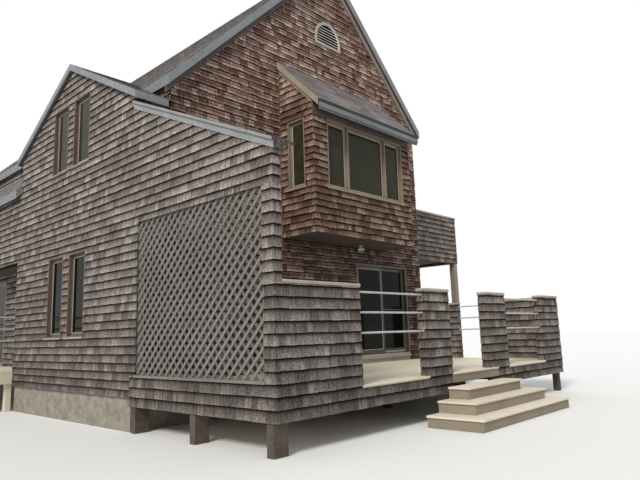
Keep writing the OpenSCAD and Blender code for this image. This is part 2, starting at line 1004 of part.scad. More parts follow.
// Where the lattice is split into panels, in whole millimetres
function panel_edge(i) = i == panel_count ? lattice_w : round(i * lattice_w / panel_count);

// Slats all over the opening, in the direction of the angle
module slats(angle)
{
    reach = (lattice_w + lattice_h) / 2;
    count = ceil(reach / slat_pitch);
    translate([lattice_w / 2, lattice_h / 2])
        rotate(angle)
            for (i = [-count : count])
                translate([-reach, i * slat_pitch - slat_w / 2])
                    square([2 * reach, slat_w]);
}

// One lattice panel: a layer of slats up to the front, and behind it a layer up to the back
module lattice_panel(i)
{
    color(weathered)
        place()
            translate([lattice_set, screen_post_w, lattice_z0])
                rotate([90, 0, 90])
                    for (layer = [0, 1])
                        translate([0, 0, layer * slat_t])
                            linear_extrude(slat_t)
                                intersection()
                                {
                                    translate([panel_edge(i), 0])
                                        square([panel_edge(i + 1) - panel_edge(i), lattice_h]);
                                    slats(layer == 0 ? -45 : 45);
                                }
}

module lattice_front()
{
    lattice_panel(0);
}

module lattice_middle()
{
    lattice_panel(1);
}

module lattice_rear()
{
    lattice_panel(2);
}

module deck_floor()
{
    color(sand_paint)
        place()
        {
            box([screen_t, 0, joist_z1], [deck_w, front_y, deck_top]);
            box([step_gap_x0, -trim_t, joist_z1 - fascia_h], [pier_b_x + fascia_over, 0, deck_top]);
        }
}

joists = 7;
joist_z1 = deck_top - board_t;
joist_z0 = joist_z1 - joist_h;
function joist_x(i) = screen_t + i * (deck_w - screen_t - trim_t - joist_w) / (joists - 1);

module deck_joists()
{
    color(tan_wood)
        place()
            for (i = [0 : joists - 1])
                box([joist_x(i), trim_t, joist_z0], [joist_x(i) + joist_w, front_y, joist_z1]);
}

inner_post_x = joist_x((joists - 1) / 2) + (joist_w - deck_post_w) / 2;
deck_post_x = [screen_t, inner_post_x, deck_w - trim_t - deck_post_w];
deck_post_y = [joist_w, (front_y - deck_post_w) / 2, front_y - joist_w - deck_post_w];

// Posts under the deck and the screen wall, and a bearer from the middle one out to the steps
module deck_posts()
{
    color(tan_wood)
        place()
        {
            for (y = deck_post_y)
            {
                for (x = deck_post_x)
                    box([x, y, 0], [x + deck_post_w, y + deck_post_w, joist_z0]);
                box([0, y, 0], [screen_t, y + deck_post_w, skirt_z]);
            }
            box([inner_post_x, -step_back, joist_z0 - deck_post_w],
                [inner_post_x + deck_post_w, joist_w, joist_z0]);
        }
}

module deck_skirt()
{
    color(weathered)
        place()
        {
            box([screen_t, 0, skirt_z], [step_gap_x0, trim_t, joist_z1]);
            box([pier_b_x, 0, skirt_z], [deck_w, trim_t, joist_z1]);
            box([deck_w - trim_t, trim_t, skirt_z], [deck_w, front_y, joist_z1]);
        }
}

side_pier_y = [side_gable_y, rear_y - side_pier_w];

module parapets()
{
    color(weathered)
        place()
        {
            box([screen_t, 0, deck_top], [parapet_w, parapet_t, parapet_z]);
            for (pier = piers)
                box([pier[0], 0, deck_top], [pier[1], parapet_t, parapet_z]);
            box([corner_x, 0, deck_top], [deck_w, parapet_t, parapet_z]);
            box([deck_w - parapet_t, parapet_t, deck_top], [deck_w, corner_return_d, parapet_z]);
            box([deck_w - parapet_t, back_pier_y, deck_top], [deck_w, front_y, parapet_z]);
            for (y = side_pier_y)
                box([-side_deck_w, y, floor_z], [-side_deck_w + side_pier_w, y + side_pier_w, parapet_z]);
        }
}

// A cap board over a parapet between two corners
module cap(x0, y0, x1, y1)
{
    box([x0, y0, parapet_z], [x1, y1, parapet_z + cap_t]);
}

module parapet_caps()
{
    color(sand_paint)
        place()
        {
            cap(screen_t, -cap_out, parapet_w + cap_out, parapet_t + cap_out);
            for (pier = piers)
                cap(pier[0] - cap_out, -cap_out, pier[1] + cap_out, parapet_t + cap_out);
            cap(corner_x - cap_out, -cap_out, deck_w + cap_out, parapet_t + cap_out);
            cap(deck_w - parapet_t - cap_out, parapet_t + cap_out, deck_w + cap_out,
                corner_return_d + cap_out);
            cap(deck_w - parapet_t - cap_out, back_pier_y - cap_out, deck_w + cap_out, front_y);
            for (y = side_pier_y)
                cap(-side_deck_w - cap_out, y - cap_out, -side_deck_w + side_pier_w + cap_out,
                    y + side_pier_w + cap_out);
        }
}

rail_z = deck_top + parapet_h - rail_drop;
function rail_heights(pitch) = [for (i = [0 : 2]) rail_z - i * pitch];

module rail_along_x(x0, x1, y, pitch)
{
    for (z = rail_heights(pitch))
        translate([x0, y, z])
            rotate([0, 90, 0])
                cylinder(h = x1 - x0, d = rail_d);
}

module rail_along_y(x, y0, y1, pitch)
{
    for (z = rail_heights(pitch))
        translate([x, y1, z])
            rotate([90, 0, 0])
                cylinder(h = y1 - y0, d = rail_d);
}

module pipe_rails()
{
    pier_x1 = -side_deck_w + side_pier_w;
    color(pipe_grey)
        place()
        {
            rail_along_x(parapet_w, pier_a_x, parapet_t / 2, rail_pitch);
            rail_along_x(piers[1][1], corner_x, parapet_t / 2, rail_pitch);
            rail_along_y(deck_w - parapet_t / 2, corner_return_d, back_pier_y, rail_pitch);
            rail_along_x(pier_x1, 0, side_gable_y + side_pier_w / 2, side_rail_pitch);
            rail_along_x(pier_x1, side_setback, rear_y - side_pier_w / 2, side_rail_pitch);
            rail_along_y(pier_x1 - side_pier_w / 2, side_pier_y[0] + side_pier_w, side_pier_y[1],
                         side_rail_pitch);
        }
}

// One box step: riser boards under a tread
module step(level)
{
    spread = (2 - level) * step_side;
    depth = top_step_d + (2 - level) * step_going;
    x0 = step_x - top_step_w / 2 - spread;
    x1 = step_x + top_step_w / 2 + spread;
    z0 = level * step_rise;
    z1 = z0 + step_rise;
    color(sand_paint)
        place()
            translate([0, -step_back, 0])
            {
                box([x0, -depth, z1 - tread_t], [x1, 0, z1]);
                difference()
                {
                    box([x0 + nosing, -depth + nosing, z0], [x1 - nosing, 0, z1 - tread_t]);
                    box([x0 + nosing + riser_t, -depth + nosing + riser_t, z0 - eps],
                        [x1 - nosing - riser_t, -riser_t, z1 - tread_t + eps]);
                }
            }
}

module step_low()
{
    step(0);
}

module step_middle()
{
    step(1);
}

module step_top()
{
    step(2);
}

balcony_x1 = house_w + balcony_w;
balcony_y1 = front_y + balcony_d;
balcony_floor_z = upper_floor_z - board_t;

module balcony_floor()
{
    color(tan_wood)
        place()
            box([house_w, front_y + balcony_wall_t, balcony_z0 + balcony_soffit_up],
                [balcony_x1 - balcony_wall_t, balcony_y1 - balcony_wall_t, balcony_floor_z]);
}

// The three sides of the balcony between two heights, grown sideways
module balcony_ring(grow, z0, z1)
{
    inner = balcony_wall_t + grow;
    translate([0, 0, z0])
        linear_extrude(z1 - z0)
            difference()
            {
                translate([house_w, front_y - grow])
                    square([balcony_w + grow, balcony_d + 2 * grow]);
                translate([house_w - eps, front_y + inner])
                    square([balcony_w - inner + eps, balcony_d - 2 * inner]);
            }
}

module balcony_parapet()
{
    color(weathered)
        place()
        {
            balcony_ring(0, balcony_z0, balcony_z1 - cap_t);
            balcony_ring(cap_out, balcony_z1 - cap_t, balcony_z1);
        }
}

module balcony_posts()
{
    color(grey_paint)
        place()
            for (y = [front_y, balcony_y1 - balcony_post_w])
                box([balcony_x1 - balcony_post_w, y, 0], [balcony_x1, y + balcony_post_w, balcony_z0]);
}

module side_deck()
{
    z0 = floor_z - side_fascia_h;
    color(sand_paint)
        place()
        {
            box([-side_deck_w, side_gable_y, floor_z - board_t], [side_setback, rear_y, floor_z]);
            box([-side_deck_w, side_gable_y, z0],
                [side_setback, side_gable_y + joist_w, floor_z - board_t]);
            box([-side_deck_w, rear_y - joist_w, z0], [side_setback, rear_y, floor_z - board_t]);
            box([-side_deck_w, side_gable_y, z0], [-side_deck_w + joist_w, rear_y, floor_z - board_t]);
            for (x = [-side_deck_w + joist_w, -deck_post_w])
                for (y = [side_gable_y + joist_w, rear_y - joist_w - deck_post_w])
                    box([x, y, 0], [x + deck_post_w, y + deck_post_w, floor_z - board_t]);
        }
}

// The door panels: the left one is fixed, the right one slides behind it
panel_w = (door_w - 2 * frame_w + stile_w) / 2;
fixed_x0 = door_x0 + frame_w;
fixed_y = front_y + (wall_t - 2 * panel_t - run_gap) / 2;
fixed_z0 = floor_z + frame_w;
fixed_z1 = door_z1 - frame_w;
sliding_x1 = door_x1 - frame_w - run_gap;
sliding_x0 = sliding_x1 - panel_w + run_gap;
sliding_y = fixed_y + panel_t + run_gap;
sliding_z0 = fixed_z0 + track_h + track_gap;
sliding_z1 = fixed_z1 - run_gap;

mid_bar_z0 = floor_z + mid_bar_up - mid_bar_h / 2;
mid_bar_z1 = mid_bar_z0 + mid_bar_h;

// The border of one door panel
module door_panel(x0, x1, y, z0, z1)
{
    difference()
    {
        box([x0, y, z0], [x1, y + panel_t, z1]);
        box([x0 + stile_w, y - eps, z0 + bottom_rail_h],
            [x1 - stile_w, y + panel_t + eps, z1 - stile_w]);
    }
}

// A pane between a door panel's stiles, between two heights
module door_pane(x0, x1, y, z0, z1)
{
    inset = (panel_t - glass_t) / 2;
    box([x0 + stile_w, y + inset, z0], [x1 - stile_w, y + inset + glass_t, z1]);
}

module front_door_frame()
{
    track_y = sliding_y + (panel_t - track_h) / 2;
    color(pipe_grey)
        place()
        {
            difference()
            {
                box([door_x0, front_y, floor_z], [door_x1, inner_front_y, door_z1]);
                box([door_x0 + frame_w, front_y - eps, fixed_z0],
                    [door_x1 - frame_w, inner_front_y + eps, fixed_z1]);
            }
            box([door_x0 + frame_w, track_y, fixed_z0],
                [door_x1 - frame_w, track_y + track_h, fixed_z0 + track_h]);
            door_panel(fixed_x0, fixed_x0 + panel_w, fixed_y, fixed_z0, fixed_z1);
        }
}

module front_door_panel()
{
    color(pipe_grey)
        place()
        {
            door_panel(sliding_x0, sliding_x1, sliding_y, sliding_z0, sliding_z1);
            box([sliding_x0 + stile_w, sliding_y, mid_bar_z0],
                [sliding_x1 - stile_w, sliding_y + panel_t, mid_bar_z1]);
        }
}

module front_door_glass()
{
    color(pane)
        place()
        {
            door_pane(sliding_x0, sliding_x1, sliding_y, sliding_z0 + bottom_rail_h, mid_bar_z0);
            door_pane(sliding_x0, sliding_x1, sliding_y, mid_bar_z1, sliding_z1 - stile_w);
        }
}

foundation();
ground_floor();
upper_floor();
front_wall_left();
front_wall_right();
door_sill();
gable_wall();
side_gable_wall();
side_gable_return();
porch_wall();
porch_soffit();
overhang_wall();
right_wall();
rear_wall();
main_roof_left();
main_roof_right();
side_roof_front();
side_roof_rear();
pent_roof();
main_roof_trim();
side_roof_trim();
gable_vent();
bay_floor();
bay_walls();
bay_roof();
bay_roof_trim();
window_frames();
window_glass();
screen_wall();
screen_cap();
lattice_front();
lattice_middle();
lattice_rear();
deck_floor();
deck_joists();
deck_posts();
deck_skirt();
parapets();
parapet_caps();
pipe_rails();
step_low();
step_middle();
step_top();
balcony_floor();
balcony_parapet();
balcony_posts();
side_deck();
front_door_frame();
front_door_panel();
front_door_glass();
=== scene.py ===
"""The looks of a shingled beach house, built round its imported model."""

import math
import random
from itertools import product

import bpy
from mathutils import Matrix, Vector


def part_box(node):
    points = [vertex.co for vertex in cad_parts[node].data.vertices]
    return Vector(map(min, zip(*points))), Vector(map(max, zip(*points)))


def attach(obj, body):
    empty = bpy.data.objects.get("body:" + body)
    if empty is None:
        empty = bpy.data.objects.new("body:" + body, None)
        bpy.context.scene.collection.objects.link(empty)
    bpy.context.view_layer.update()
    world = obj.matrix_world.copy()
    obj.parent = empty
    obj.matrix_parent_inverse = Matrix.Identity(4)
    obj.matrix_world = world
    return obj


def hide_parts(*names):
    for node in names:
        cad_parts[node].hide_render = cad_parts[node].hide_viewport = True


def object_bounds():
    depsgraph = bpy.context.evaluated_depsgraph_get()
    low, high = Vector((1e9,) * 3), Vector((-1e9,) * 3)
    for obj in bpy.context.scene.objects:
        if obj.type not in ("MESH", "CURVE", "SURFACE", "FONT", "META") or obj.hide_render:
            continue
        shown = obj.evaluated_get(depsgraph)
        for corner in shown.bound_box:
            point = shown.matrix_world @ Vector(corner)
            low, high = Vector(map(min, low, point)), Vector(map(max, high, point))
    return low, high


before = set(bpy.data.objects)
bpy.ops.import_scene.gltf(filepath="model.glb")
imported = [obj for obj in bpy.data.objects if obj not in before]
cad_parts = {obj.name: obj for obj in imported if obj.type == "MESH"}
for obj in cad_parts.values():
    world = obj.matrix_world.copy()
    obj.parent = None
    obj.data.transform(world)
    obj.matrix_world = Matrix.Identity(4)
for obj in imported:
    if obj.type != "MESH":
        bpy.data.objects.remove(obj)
cad_low, cad_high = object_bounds()
rng = random.Random(41)

# Shingles: the start and height of their courses, their widths, gap and thickness

HOUSE_COURSES, DECK_COURSES = (0.4545, 0.1228), (0.355, 0.1329)
BAY_COURSES, BALCONY_COURSES = (3.0175, 0.1205), (2.96, 0.12)
BUTT_T, SUNK, HAIR = 0.018, 0.002, 0.001
SHINGLES, OVER = (0.075, 0.235, 0.003, BUTT_T, 0.004), BUTT_T * 0.9
RAGGED, RAGGED_CEDAR, BUTT_SPREAD, TILT = 0.003, 0.008, 45, 0.2
SHORTEST, SCRAP_W, SCRAP_H, SCRAP_AREA, MARGIN, LAST_ROW = 0.008, 0.006, 0.004, 5e-5, 0.05, 0.01
FRIEZE_T, CORNER_T, BAY_DRIP, VENT_LAP, VENT_STEPS = 0.02, 0.028, 0.006, 0.006, 18
CHEEK_OUT, CHEEK_T, PLAIN_TONE = 0.012, 0.02, (0.5, 0.5, 0.5, 1)
WINDOW_NEAR, WINDOW_T, BAY_ROOM, NEAR, SAME = 0.03, 0.25, 0.1, 0.01, 1e-4

# Roofs, boards and fittings

ROOT2, SIDE_PITCH = math.sqrt(2), math.radians(28)
TAB, TAB_W = 0.14, 0.3
TABS = (TAB_W, TAB_W, 0.004, 0.006, 0.002)
RIDGE_WING, RIDGE_LIFTS, RIDGE_T, RIDGE_STEP = 0.13, (0.014, 0.008), 0.008, 0.75
TRIM_T, RAKE_OUT, PAST = 0.025, 0.055, 1
EASED, THIN_EASED, EDGE_EASED, SILL_EASED = 0.004, 0.001, 0.003, 0.005
NOSE_EASED, TREAD_EASED, RING_EASED, CAP_EASED = 0.006, 0.007, 0.008, 0.009
BOARD_W, BOARD_T, BOARD_GAP, DECK_GAP, DECK_EASED = 0.145, 0.04, 0.005, 0.003, 0.002
NOSE, NOSE_T, NOSE_IN = 0.018, 0.026, 0.03
NOSING, TREAD_T, RISER_T = 0.025, 0.03, 0.038
RIM_H, JOIST_W, POST_W = 0.25, 0.05, 0.11
CAP_RISE, CAP_OUT = 0.003, 0.002
FLANGE = ((0.01, 0.0), (0.01, 0.004), (0.003, 0.007), (0.001, 0.014))
LEDGE_OUT, LEDGE_PAST, LEDGE_DOWN, LEDGE_UP, STOP_T = 0.03, 0.02, 0.022, 0.012, 0.016
BEAD_W, BEAD_T = 0.011, 0.008
SILL_OUT, SILL_IN, SILL_DOWN, SILL_UP, DOOR_SILL_ROOM = 0.03, 0.05, 0.03, 0.004, 0.5
EDGE_W, EDGE_IN = 0.014, 0.003
PULL_IN, PULL_UP, PULL_W, PULL_H, PULL_T, GRIP_AT = 0.03, 0.95, 0.014, 0.11, 0.004, 0.08
GRIP_STEM, GRIP = ((0.007, 0), (0.007, 0.016)), ((0.004, 0), (0.007, 0.006), (0.007, 0.194), (0.004, 0.2))
LAMP_IN, LAMP_OUT, LAMP_DOWN = 1.97, 0.23, 0.04
LAMP_HUB = ((0.045, 0), (0.045, 0.01), (0.016, 0.018), (0.01, 0.045))
LAMP_SHADE = ((0.012, 0.0), (0.02, 0.013), (0.023, 0.04), (0.034, 0.08), (0.036, 0.09), (0.032, 0.089))
SMOOTH_BELOW = math.radians(38)

# The stage, the light and the camera

FLOOR_R, FLOOR_STEPS, FLOOR_DOWN, FLOOR_COLOUR = 90, 64, 0.002, (0.8, 0.8, 0.79, 1)
SKY, SKY_COLOUR = 0.6, (0.94, 0.97, 1.0, 1)
LIGHTS = (("sun", 2.6, 16, (1.0, 0.96, 0.9), (-0.8, -0.28, 0.66)),
          ("fill", 0.8, 60, (0.92, 0.96, 1.0), (0.75, 0.5, 0.45)))
CAMERA_PLACE, LENS, SENSOR, FAR = (-8.0175, -10.238, 1.265), 32.34, 36, 500
CAMERA_RIGHT, CAMERA_DOWN = Vector((0.68619, -0.72672, -0.03212)), Vector((0.09534, 0.13362, -0.98644))
CAMERA_FORWARD = Vector((0.72115, 0.67382, 0.16097))

# Places and sizes that the frame gives

X, Y, Z = Vector((1, 0, 0)), Vector((0, 1, 0)), Vector((0, 0, 1))
side_lo, side_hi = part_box("side_gable_wall")
main_lo, main_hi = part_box("gable_wall")
right_lo, right_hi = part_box("right_wall")
over_lo, over_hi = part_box("overhang_wall")
screen_lo, screen_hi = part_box("screen_wall")
lattice_lo, lattice_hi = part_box("lattice_front")[0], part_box("lattice_rear")[1]
bay_lo, bay_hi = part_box("bay_walls")
bay_roof_lo, bay_roof_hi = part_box("bay_roof")
roof_lo, roof_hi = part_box("main_roof_left")
side_roof_lo, side_roof_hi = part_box("side_roof_front")
pent_lo, pent_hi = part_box("pent_roof")
vent_lo, vent_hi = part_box("gable_vent")
deck_lo, deck_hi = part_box("deck_floor")
skirt_lo, skirt_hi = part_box("deck_skirt")
balcony_lo, balcony_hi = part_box("balcony_parapet")
balcony_floor_lo, balcony_floor_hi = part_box("balcony_floor")
door_lo, door_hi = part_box("front_door_frame")
panel_lo, panel_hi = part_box("front_door_panel")
side_deck_lo, side_deck_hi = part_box("side_deck")
caps_lo, caps_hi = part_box("parapet_caps")
screen_cap_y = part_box("screen_cap")[0].y
bay_floor_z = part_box("bay_floor")[0].z
foundation_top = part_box("foundation")[1].z
parapet_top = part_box("parapets")[1].z
door_sill_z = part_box("door_sill")[0].z
right_eave_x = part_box("main_roof_right")[1].x
side_rear_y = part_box("side_roof_rear")[1].y
side_end_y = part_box("side_gable_return")[1].y
inner_left_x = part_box("porch_wall")[0].x
rear_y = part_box("rear_wall")[1].y

left_x, right_x = side_lo.x, right_hi.x
front_y, deck_y = main_lo.y, skirt_lo.y
wall_t, cap_t = right_hi.x - right_lo.x, caps_hi.z - caps_lo.z
ridge_x, ridge_z = roof_hi.x, roof_hi.z
roof_drop = ridge_z - main_hi.z
side_ridge_y, side_ridge_z = side_roof_hi.y, side_roof_hi.z
side_slope, side_drop = math.tan(SIDE_PITCH), side_ridge_z - side_hi.z
overhang_top = over_hi.z - wall_t
bay_eave_z = bay_hi.z - (front_y - bay_lo.y)
bay_drip_z = bay_roof_hi.z - (front_y - bay_roof_lo.y)


def main_roof_z(x):
    """Height of the main roof's top above a place across the house."""
    return ridge_z - abs(x - ridge_x)


def wall_top_z(x):
    """Height of a wall's top below the main roof, at a place across the house."""
    return main_roof_z(x) - roof_drop


def side_roof_z(y):
    """Height of the side gable roof's top at a place along the house."""
    return side_ridge_z - abs(y - side_ridge_y) * side_slope


def solids(node):
    """The lowest and highest corners of each separate solid of a node."""
    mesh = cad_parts[node].data
    keys = [tuple(round(c, 5) for c in v.co) for v in mesh.vertices]
    group = {key: {key} for key in keys}
    for face in mesh.polygons:
        first = group[keys[face.vertices[0]]]
        for v in face.vertices:
            other = group[keys[v]]
            if other is not first:
                first |= other
                group.update(dict.fromkeys(other, first))
    boxes = [(Vector([min(c) for c in zip(*points)]), Vector([max(c) for c in zip(*points)]))
             for points in {id(points): points for points in group.values()}.values()]
    return sorted(boxes, key=lambda box: tuple(box[0]))


windows = solids("window_frames")
posts = solids("parapets")
side_posts = [p for p in posts if p[0].x < left_x]
front_posts = [p for p in posts if p[0].y < deck_y + wall_t and p[0].x > left_x]
corner_post, back_post = front_posts[-1], posts[-1]
parapet_t = front_posts[0][1].y - deck_y
balcony_wall_t = balcony_floor_lo.y - balcony_lo.y - TRIM_T
screen_front_top = max(v.co.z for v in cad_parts["screen_wall"].data.vertices
                       if v.co.y < deck_y + HAIR)
fascia_ends = [v.co.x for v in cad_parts["deck_floor"].data.vertices if v.co.y < deck_y - HAIR]


class Builder:
    """Collects the corners and faces of one mesh piece, with a tone at each corner."""

    def __init__(self):
        self.points, self.faces, self.tones = [], [], []

    def prism(self, back, front, tones):
        """A closed solid between two outlines with as many points each."""
        n, start = len(back), len(self.points)
        self.points += back + front
        self.tones += tones
        self.faces.append([start + i for i in reversed(range(n))])
        self.faces.append([start + n + i for i in range(n)])
        for i in range(n):
            j = (i + 1) % n
            self.faces.append([start + i, start + j, start + n + j, start + n + i])

    def facet(self, ring, middle):
        """A face turned away from the middle of its solid."""
        a, b, c = (self.points[i] for i in ring[:3])
        self.faces.append(ring if (b - a).cross(c - a).dot(a - middle) > 0 else ring[::-1])

    def board(self, low, high, bevel=EASED):
        """A board between two corners, with its edges eased."""
        low, high = Vector(low), Vector(high)
        tone = (rng.random(), rng.random(), 0.5, 1.0)
        middle, half = (low + high) / 2, (high - low) / 2
        bevel = min(bevel, 0.4 * min(half))
        corners = list(product((-1, 1), repeat=3))
        index = {}
        for corner, axis in product(corners, range(3)):
            index[corner, axis] = len(self.points)
            reach = [corner[k] * (half[k] - bevel * (k != axis)) for k in range(3)]
            self.points.append(middle + Vector(reach))
            self.tones.append(tone)
        for axis in range(3):
            a, b = (axis + 1) % 3, (axis + 2) % 3
            for s in (-1, 1):
                self.facet([index[c, axis] for c in sorted((c for c in corners if c[axis] == s),
                                                           key=lambda c: (c[a], c[a] * c[b]))], middle)
            for c in corners:
                if c[axis] < 0:
                    d = tuple(1 if k == axis else c[k] for k in range(3))
                    self.facet([index[c, a], index[d, a], index[d, b], index[c, b]], middle)
        for c in corners:
            self.facet([index[c, axis] for axis in range(3)], middle)

    def lathe(self, profile, origin, axis, steps=20):
        """A turned piece: radii and distances along an axis."""
        side = axis.orthogonal().normalized()
        other = axis.cross(side)
        start, n = len(self.points), len(profile)
        for k in range(steps):
            angle = 2 * math.pi * k / steps
            out = side * math.cos(angle) + other * math.sin(angle)
            self.points += [origin + out * radius + axis * along for radius, along in profile]
            for i in range(n - 1):
                a, b = start + k * n + i, start + ((k + 1) % steps) * n + i
                self.faces.append([a, b, b + 1, a + 1])
        self.tones += [PLAIN_TONE] * (n * steps)
        self.faces.append([start + k * n for k in reversed(range(steps))])
        self.faces.append([start + k * n + n - 1 for k in range(steps)])

    def finish(self, name, material, slot, body="house", replaces=()):
        mesh = bpy.data.meshes.new(name)
        mesh.from_pydata([tuple(p) for p in self.points], [], self.faces)
        tone = mesh.attributes.new("tone", "FLOAT_COLOR", "POINT")
        tone.data.foreach_set("color", [c for t in self.tones for c in t])
        mesh.materials.append(material)
        piece = bpy.data.objects.new(name, mesh)
        bpy.context.scene.collection.objects.link(piece)
        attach(piece, body)
        if replaces:
            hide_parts(*replaces)
        return piece


def make_boards(name, boards, bevel, material, slot, **more):
    """One piece of boards, each given by two corners."""
    piece = Builder()
    for low, high in boards:
        piece.board(low, high, bevel)
    return piece.finish(name, material, slot, **more)


def smooth(piece):
    piece.data.polygons.foreach_set("use_smooth", [True] * len(piece.data.polygons))
    piece.data.set_sharp_from_angle(angle=SMOOTH_BELOW)


# Faces covered in courses

def clip(outline, region):
    """The part of a convex outline inside another convex outline, both counter-clockwise."""
    for r, s in zip(region, region[1:] + region[:1]):
        a, b = s[1] - r[1], r[0] - s[0]
        c, kept = a * r[0] + b * r[1], []
        for p, q in zip(outline, outline[1:] + outline[:1]):
            p_over, q_over = a * p[0] + b * p[1] - c, a * q[0] + b * q[1] - c
            if p_over <= 0:
                kept.append(p)
            if (p_over < 0 < q_over) or (q_over < 0 < p_over):
                t = p_over / (p_over - q_over)
                kept.append((p[0] + t * (q[0] - p[0]), p[1] + t * (q[1] - p[1])))
        outline = kept
    return outline


def area(outline):
    return sum(p[0] * q[1] - q[0] * p[1] for p, q in zip(outline, outline[1:] + outline[:1])) / 2


def cut_holes(rects, holes):
    """What is left of rectangles (u0, v0, u1, v1) outside the holes."""
    for h0, k0, h1, k1 in holes:
        left = []
        for u0, v0, u1, v1 in rects:
            parts, low, high = [(u0, v0, u1, v1)], max(v0, k0), min(v1, k1)
            if h1 > u0 and h0 < u1 and high > low:
                parts = [(u0, v0, u1, k0), (u0, k1, u1, v1), (u0, low, h0, high), (h1, low, u1, high)]
            left += [part for part in parts if part[0] < part[2] and part[1] < part[3]]
        rects = left
    return rects


def rect(u0, v0, u1, v1):
    return [(u0, v0), (u1, v0), (u1, v1), (u0, v1)]


class Face:
    """One plane covered in courses. U runs to the right as seen from outside, V runs up it."""

    def __init__(self, origin, u, courses=HOUSE_COURSES, v=Z):
        """The origin is a place, or a place on the ground when it has no height."""
        self.origin, self.u, self.v = Vector((*origin, 0)[:3]), u.normalized(), v.normalized()
        self.n = self.u.cross(self.v)
        self.courses = courses
        self.outlines, self.regions, self.holes = [], [], []

    def add(self, outline, *corners):
        """A convex part of the face. Every other course is carried past the ends that are corners."""
        middle = sum(u for u, _ in outline) / len(outline)
        past = [(u + math.copysign(OVER, u - middle) * any(abs(u - end) < SAME for end in corners), v)
                for u, v in outline]
        self.outlines += outline
        self.regions.append((outline, past) if self.u.y else (past, outline))

    def hole(self, *rects):
        self.holes += rects

    def open_windows(self):
        """Holes for the windows that lie in the face's plane."""
        axis = 0 if abs(self.n.x) > 0.5 else 1
        for low, high in windows:
            near = low[axis] - WINDOW_NEAR <= self.origin[axis] <= high[axis] + WINDOW_NEAR
            if near and high[axis] - low[axis] < WINDOW_T:
                a, b = sorted((corner - self.origin).dot(self.u) for corner in (low, high))
                self.hole((a, low.z, b, high.z))

    def point(self, u, v, out):
        return self.origin + self.u * u + self.v * v + self.n * out

    def cover(self, builder, ragged, kind=SHINGLES):
        """Lays courses from the bottom up, over the regions and round the holes."""
        narrow, wide, gap, butt, head = kind
        (start, course), (us, vs) = self.courses, zip(*self.outlines)
        row = math.floor((min(vs) - start) / course)
        while start + row * course < max(vs) - LAST_ROW:
            shift = rng.random() * wide
            u = min(us) - MARGIN - (shift if ragged else narrow * (1 + row % 2 / 2))
            while u < max(us) + MARGIN:
                width = rng.uniform(narrow, wide)
                self.shingle(builder, row, u, u + width - gap, min(vs), max(vs), butt, head, ragged)
                u += width
            row += 1

    def shingle(self, builder, row, u0, u1, v_min, v_max, butt, head, ragged):
        v0, course = self.courses[0] + row * self.courses[1], self.courses[1]
        bottom = max(v0 + rng.uniform(-ragged, ragged), v_min)
        top = min(v0 + course + ragged * 2, v_max)
        tone = (rng.random(), rng.random())
        butt *= 1 + BUTT_SPREAD * rng.uniform(-ragged, ragged)
        tilt = rng.uniform(-TILT, TILT) * butt
        if top - bottom < SHORTEST:
            return
        for a, b, c, d in cut_holes([(u0, bottom, u1, top)], self.holes):
            if c - a < SCRAP_W or d - b < SCRAP_H:
                continue
            for region in self.regions:
                outline = clip(rect(a, b, c, d), region[row % 2])
                if len(outline) < 3 or area(outline) < SCRAP_AREA:
                    continue
                front, tones = [], []
                for u, v in outline:
                    up, across = (v - v0) / course, (u - u0) / (u1 - u0) - 0.5
                    out = head + (butt - head) * max(0, 1 - up) + tilt * across * 2
                    front.append(self.point(u, v, max(out, HAIR)))
                    tones.append((*tone, min(max(up, 0), 1), 1))
                builder.prism([self.point(u, v, -SUNK) for u, v in outline], front, tones + tones)


# Materials

def paint(code):
    """A web colour as linear values."""
    values = [int(code[i:i + 2], 16) / 255 for i in (1, 3, 5)]
    return (*(v / 12.92 if v <= 0.04045 else ((v + 0.055) / 1.055) ** 2.4 for v in values), 1)


class Nodes:
    """A node tree, with short ways to add and join nodes."""

    def __init__(self, tree):
        self.tree = tree

    def add(self, kind, inputs=None, **settings):
        node = self.tree.nodes.new(kind)
        for name, value in settings.items():
            setattr(node, name, value)
        self.set(node, inputs or {})
        return node

    def set(self, node, inputs):
        """Sets inputs to a number, a vector, a web colour or another node's output."""
        for name, value in inputs.items():
            if isinstance(value, bpy.types.NodeSocket):
                self.tree.links.new(value, node.inputs[name])
            else:
                node.inputs[name].default_value = paint(value) if isinstance(value, str) else value

    def maths(self, operation, a, b):
        return self.add("ShaderNodeMath", {0: a, 1: b}, operation=operation).outputs[0]


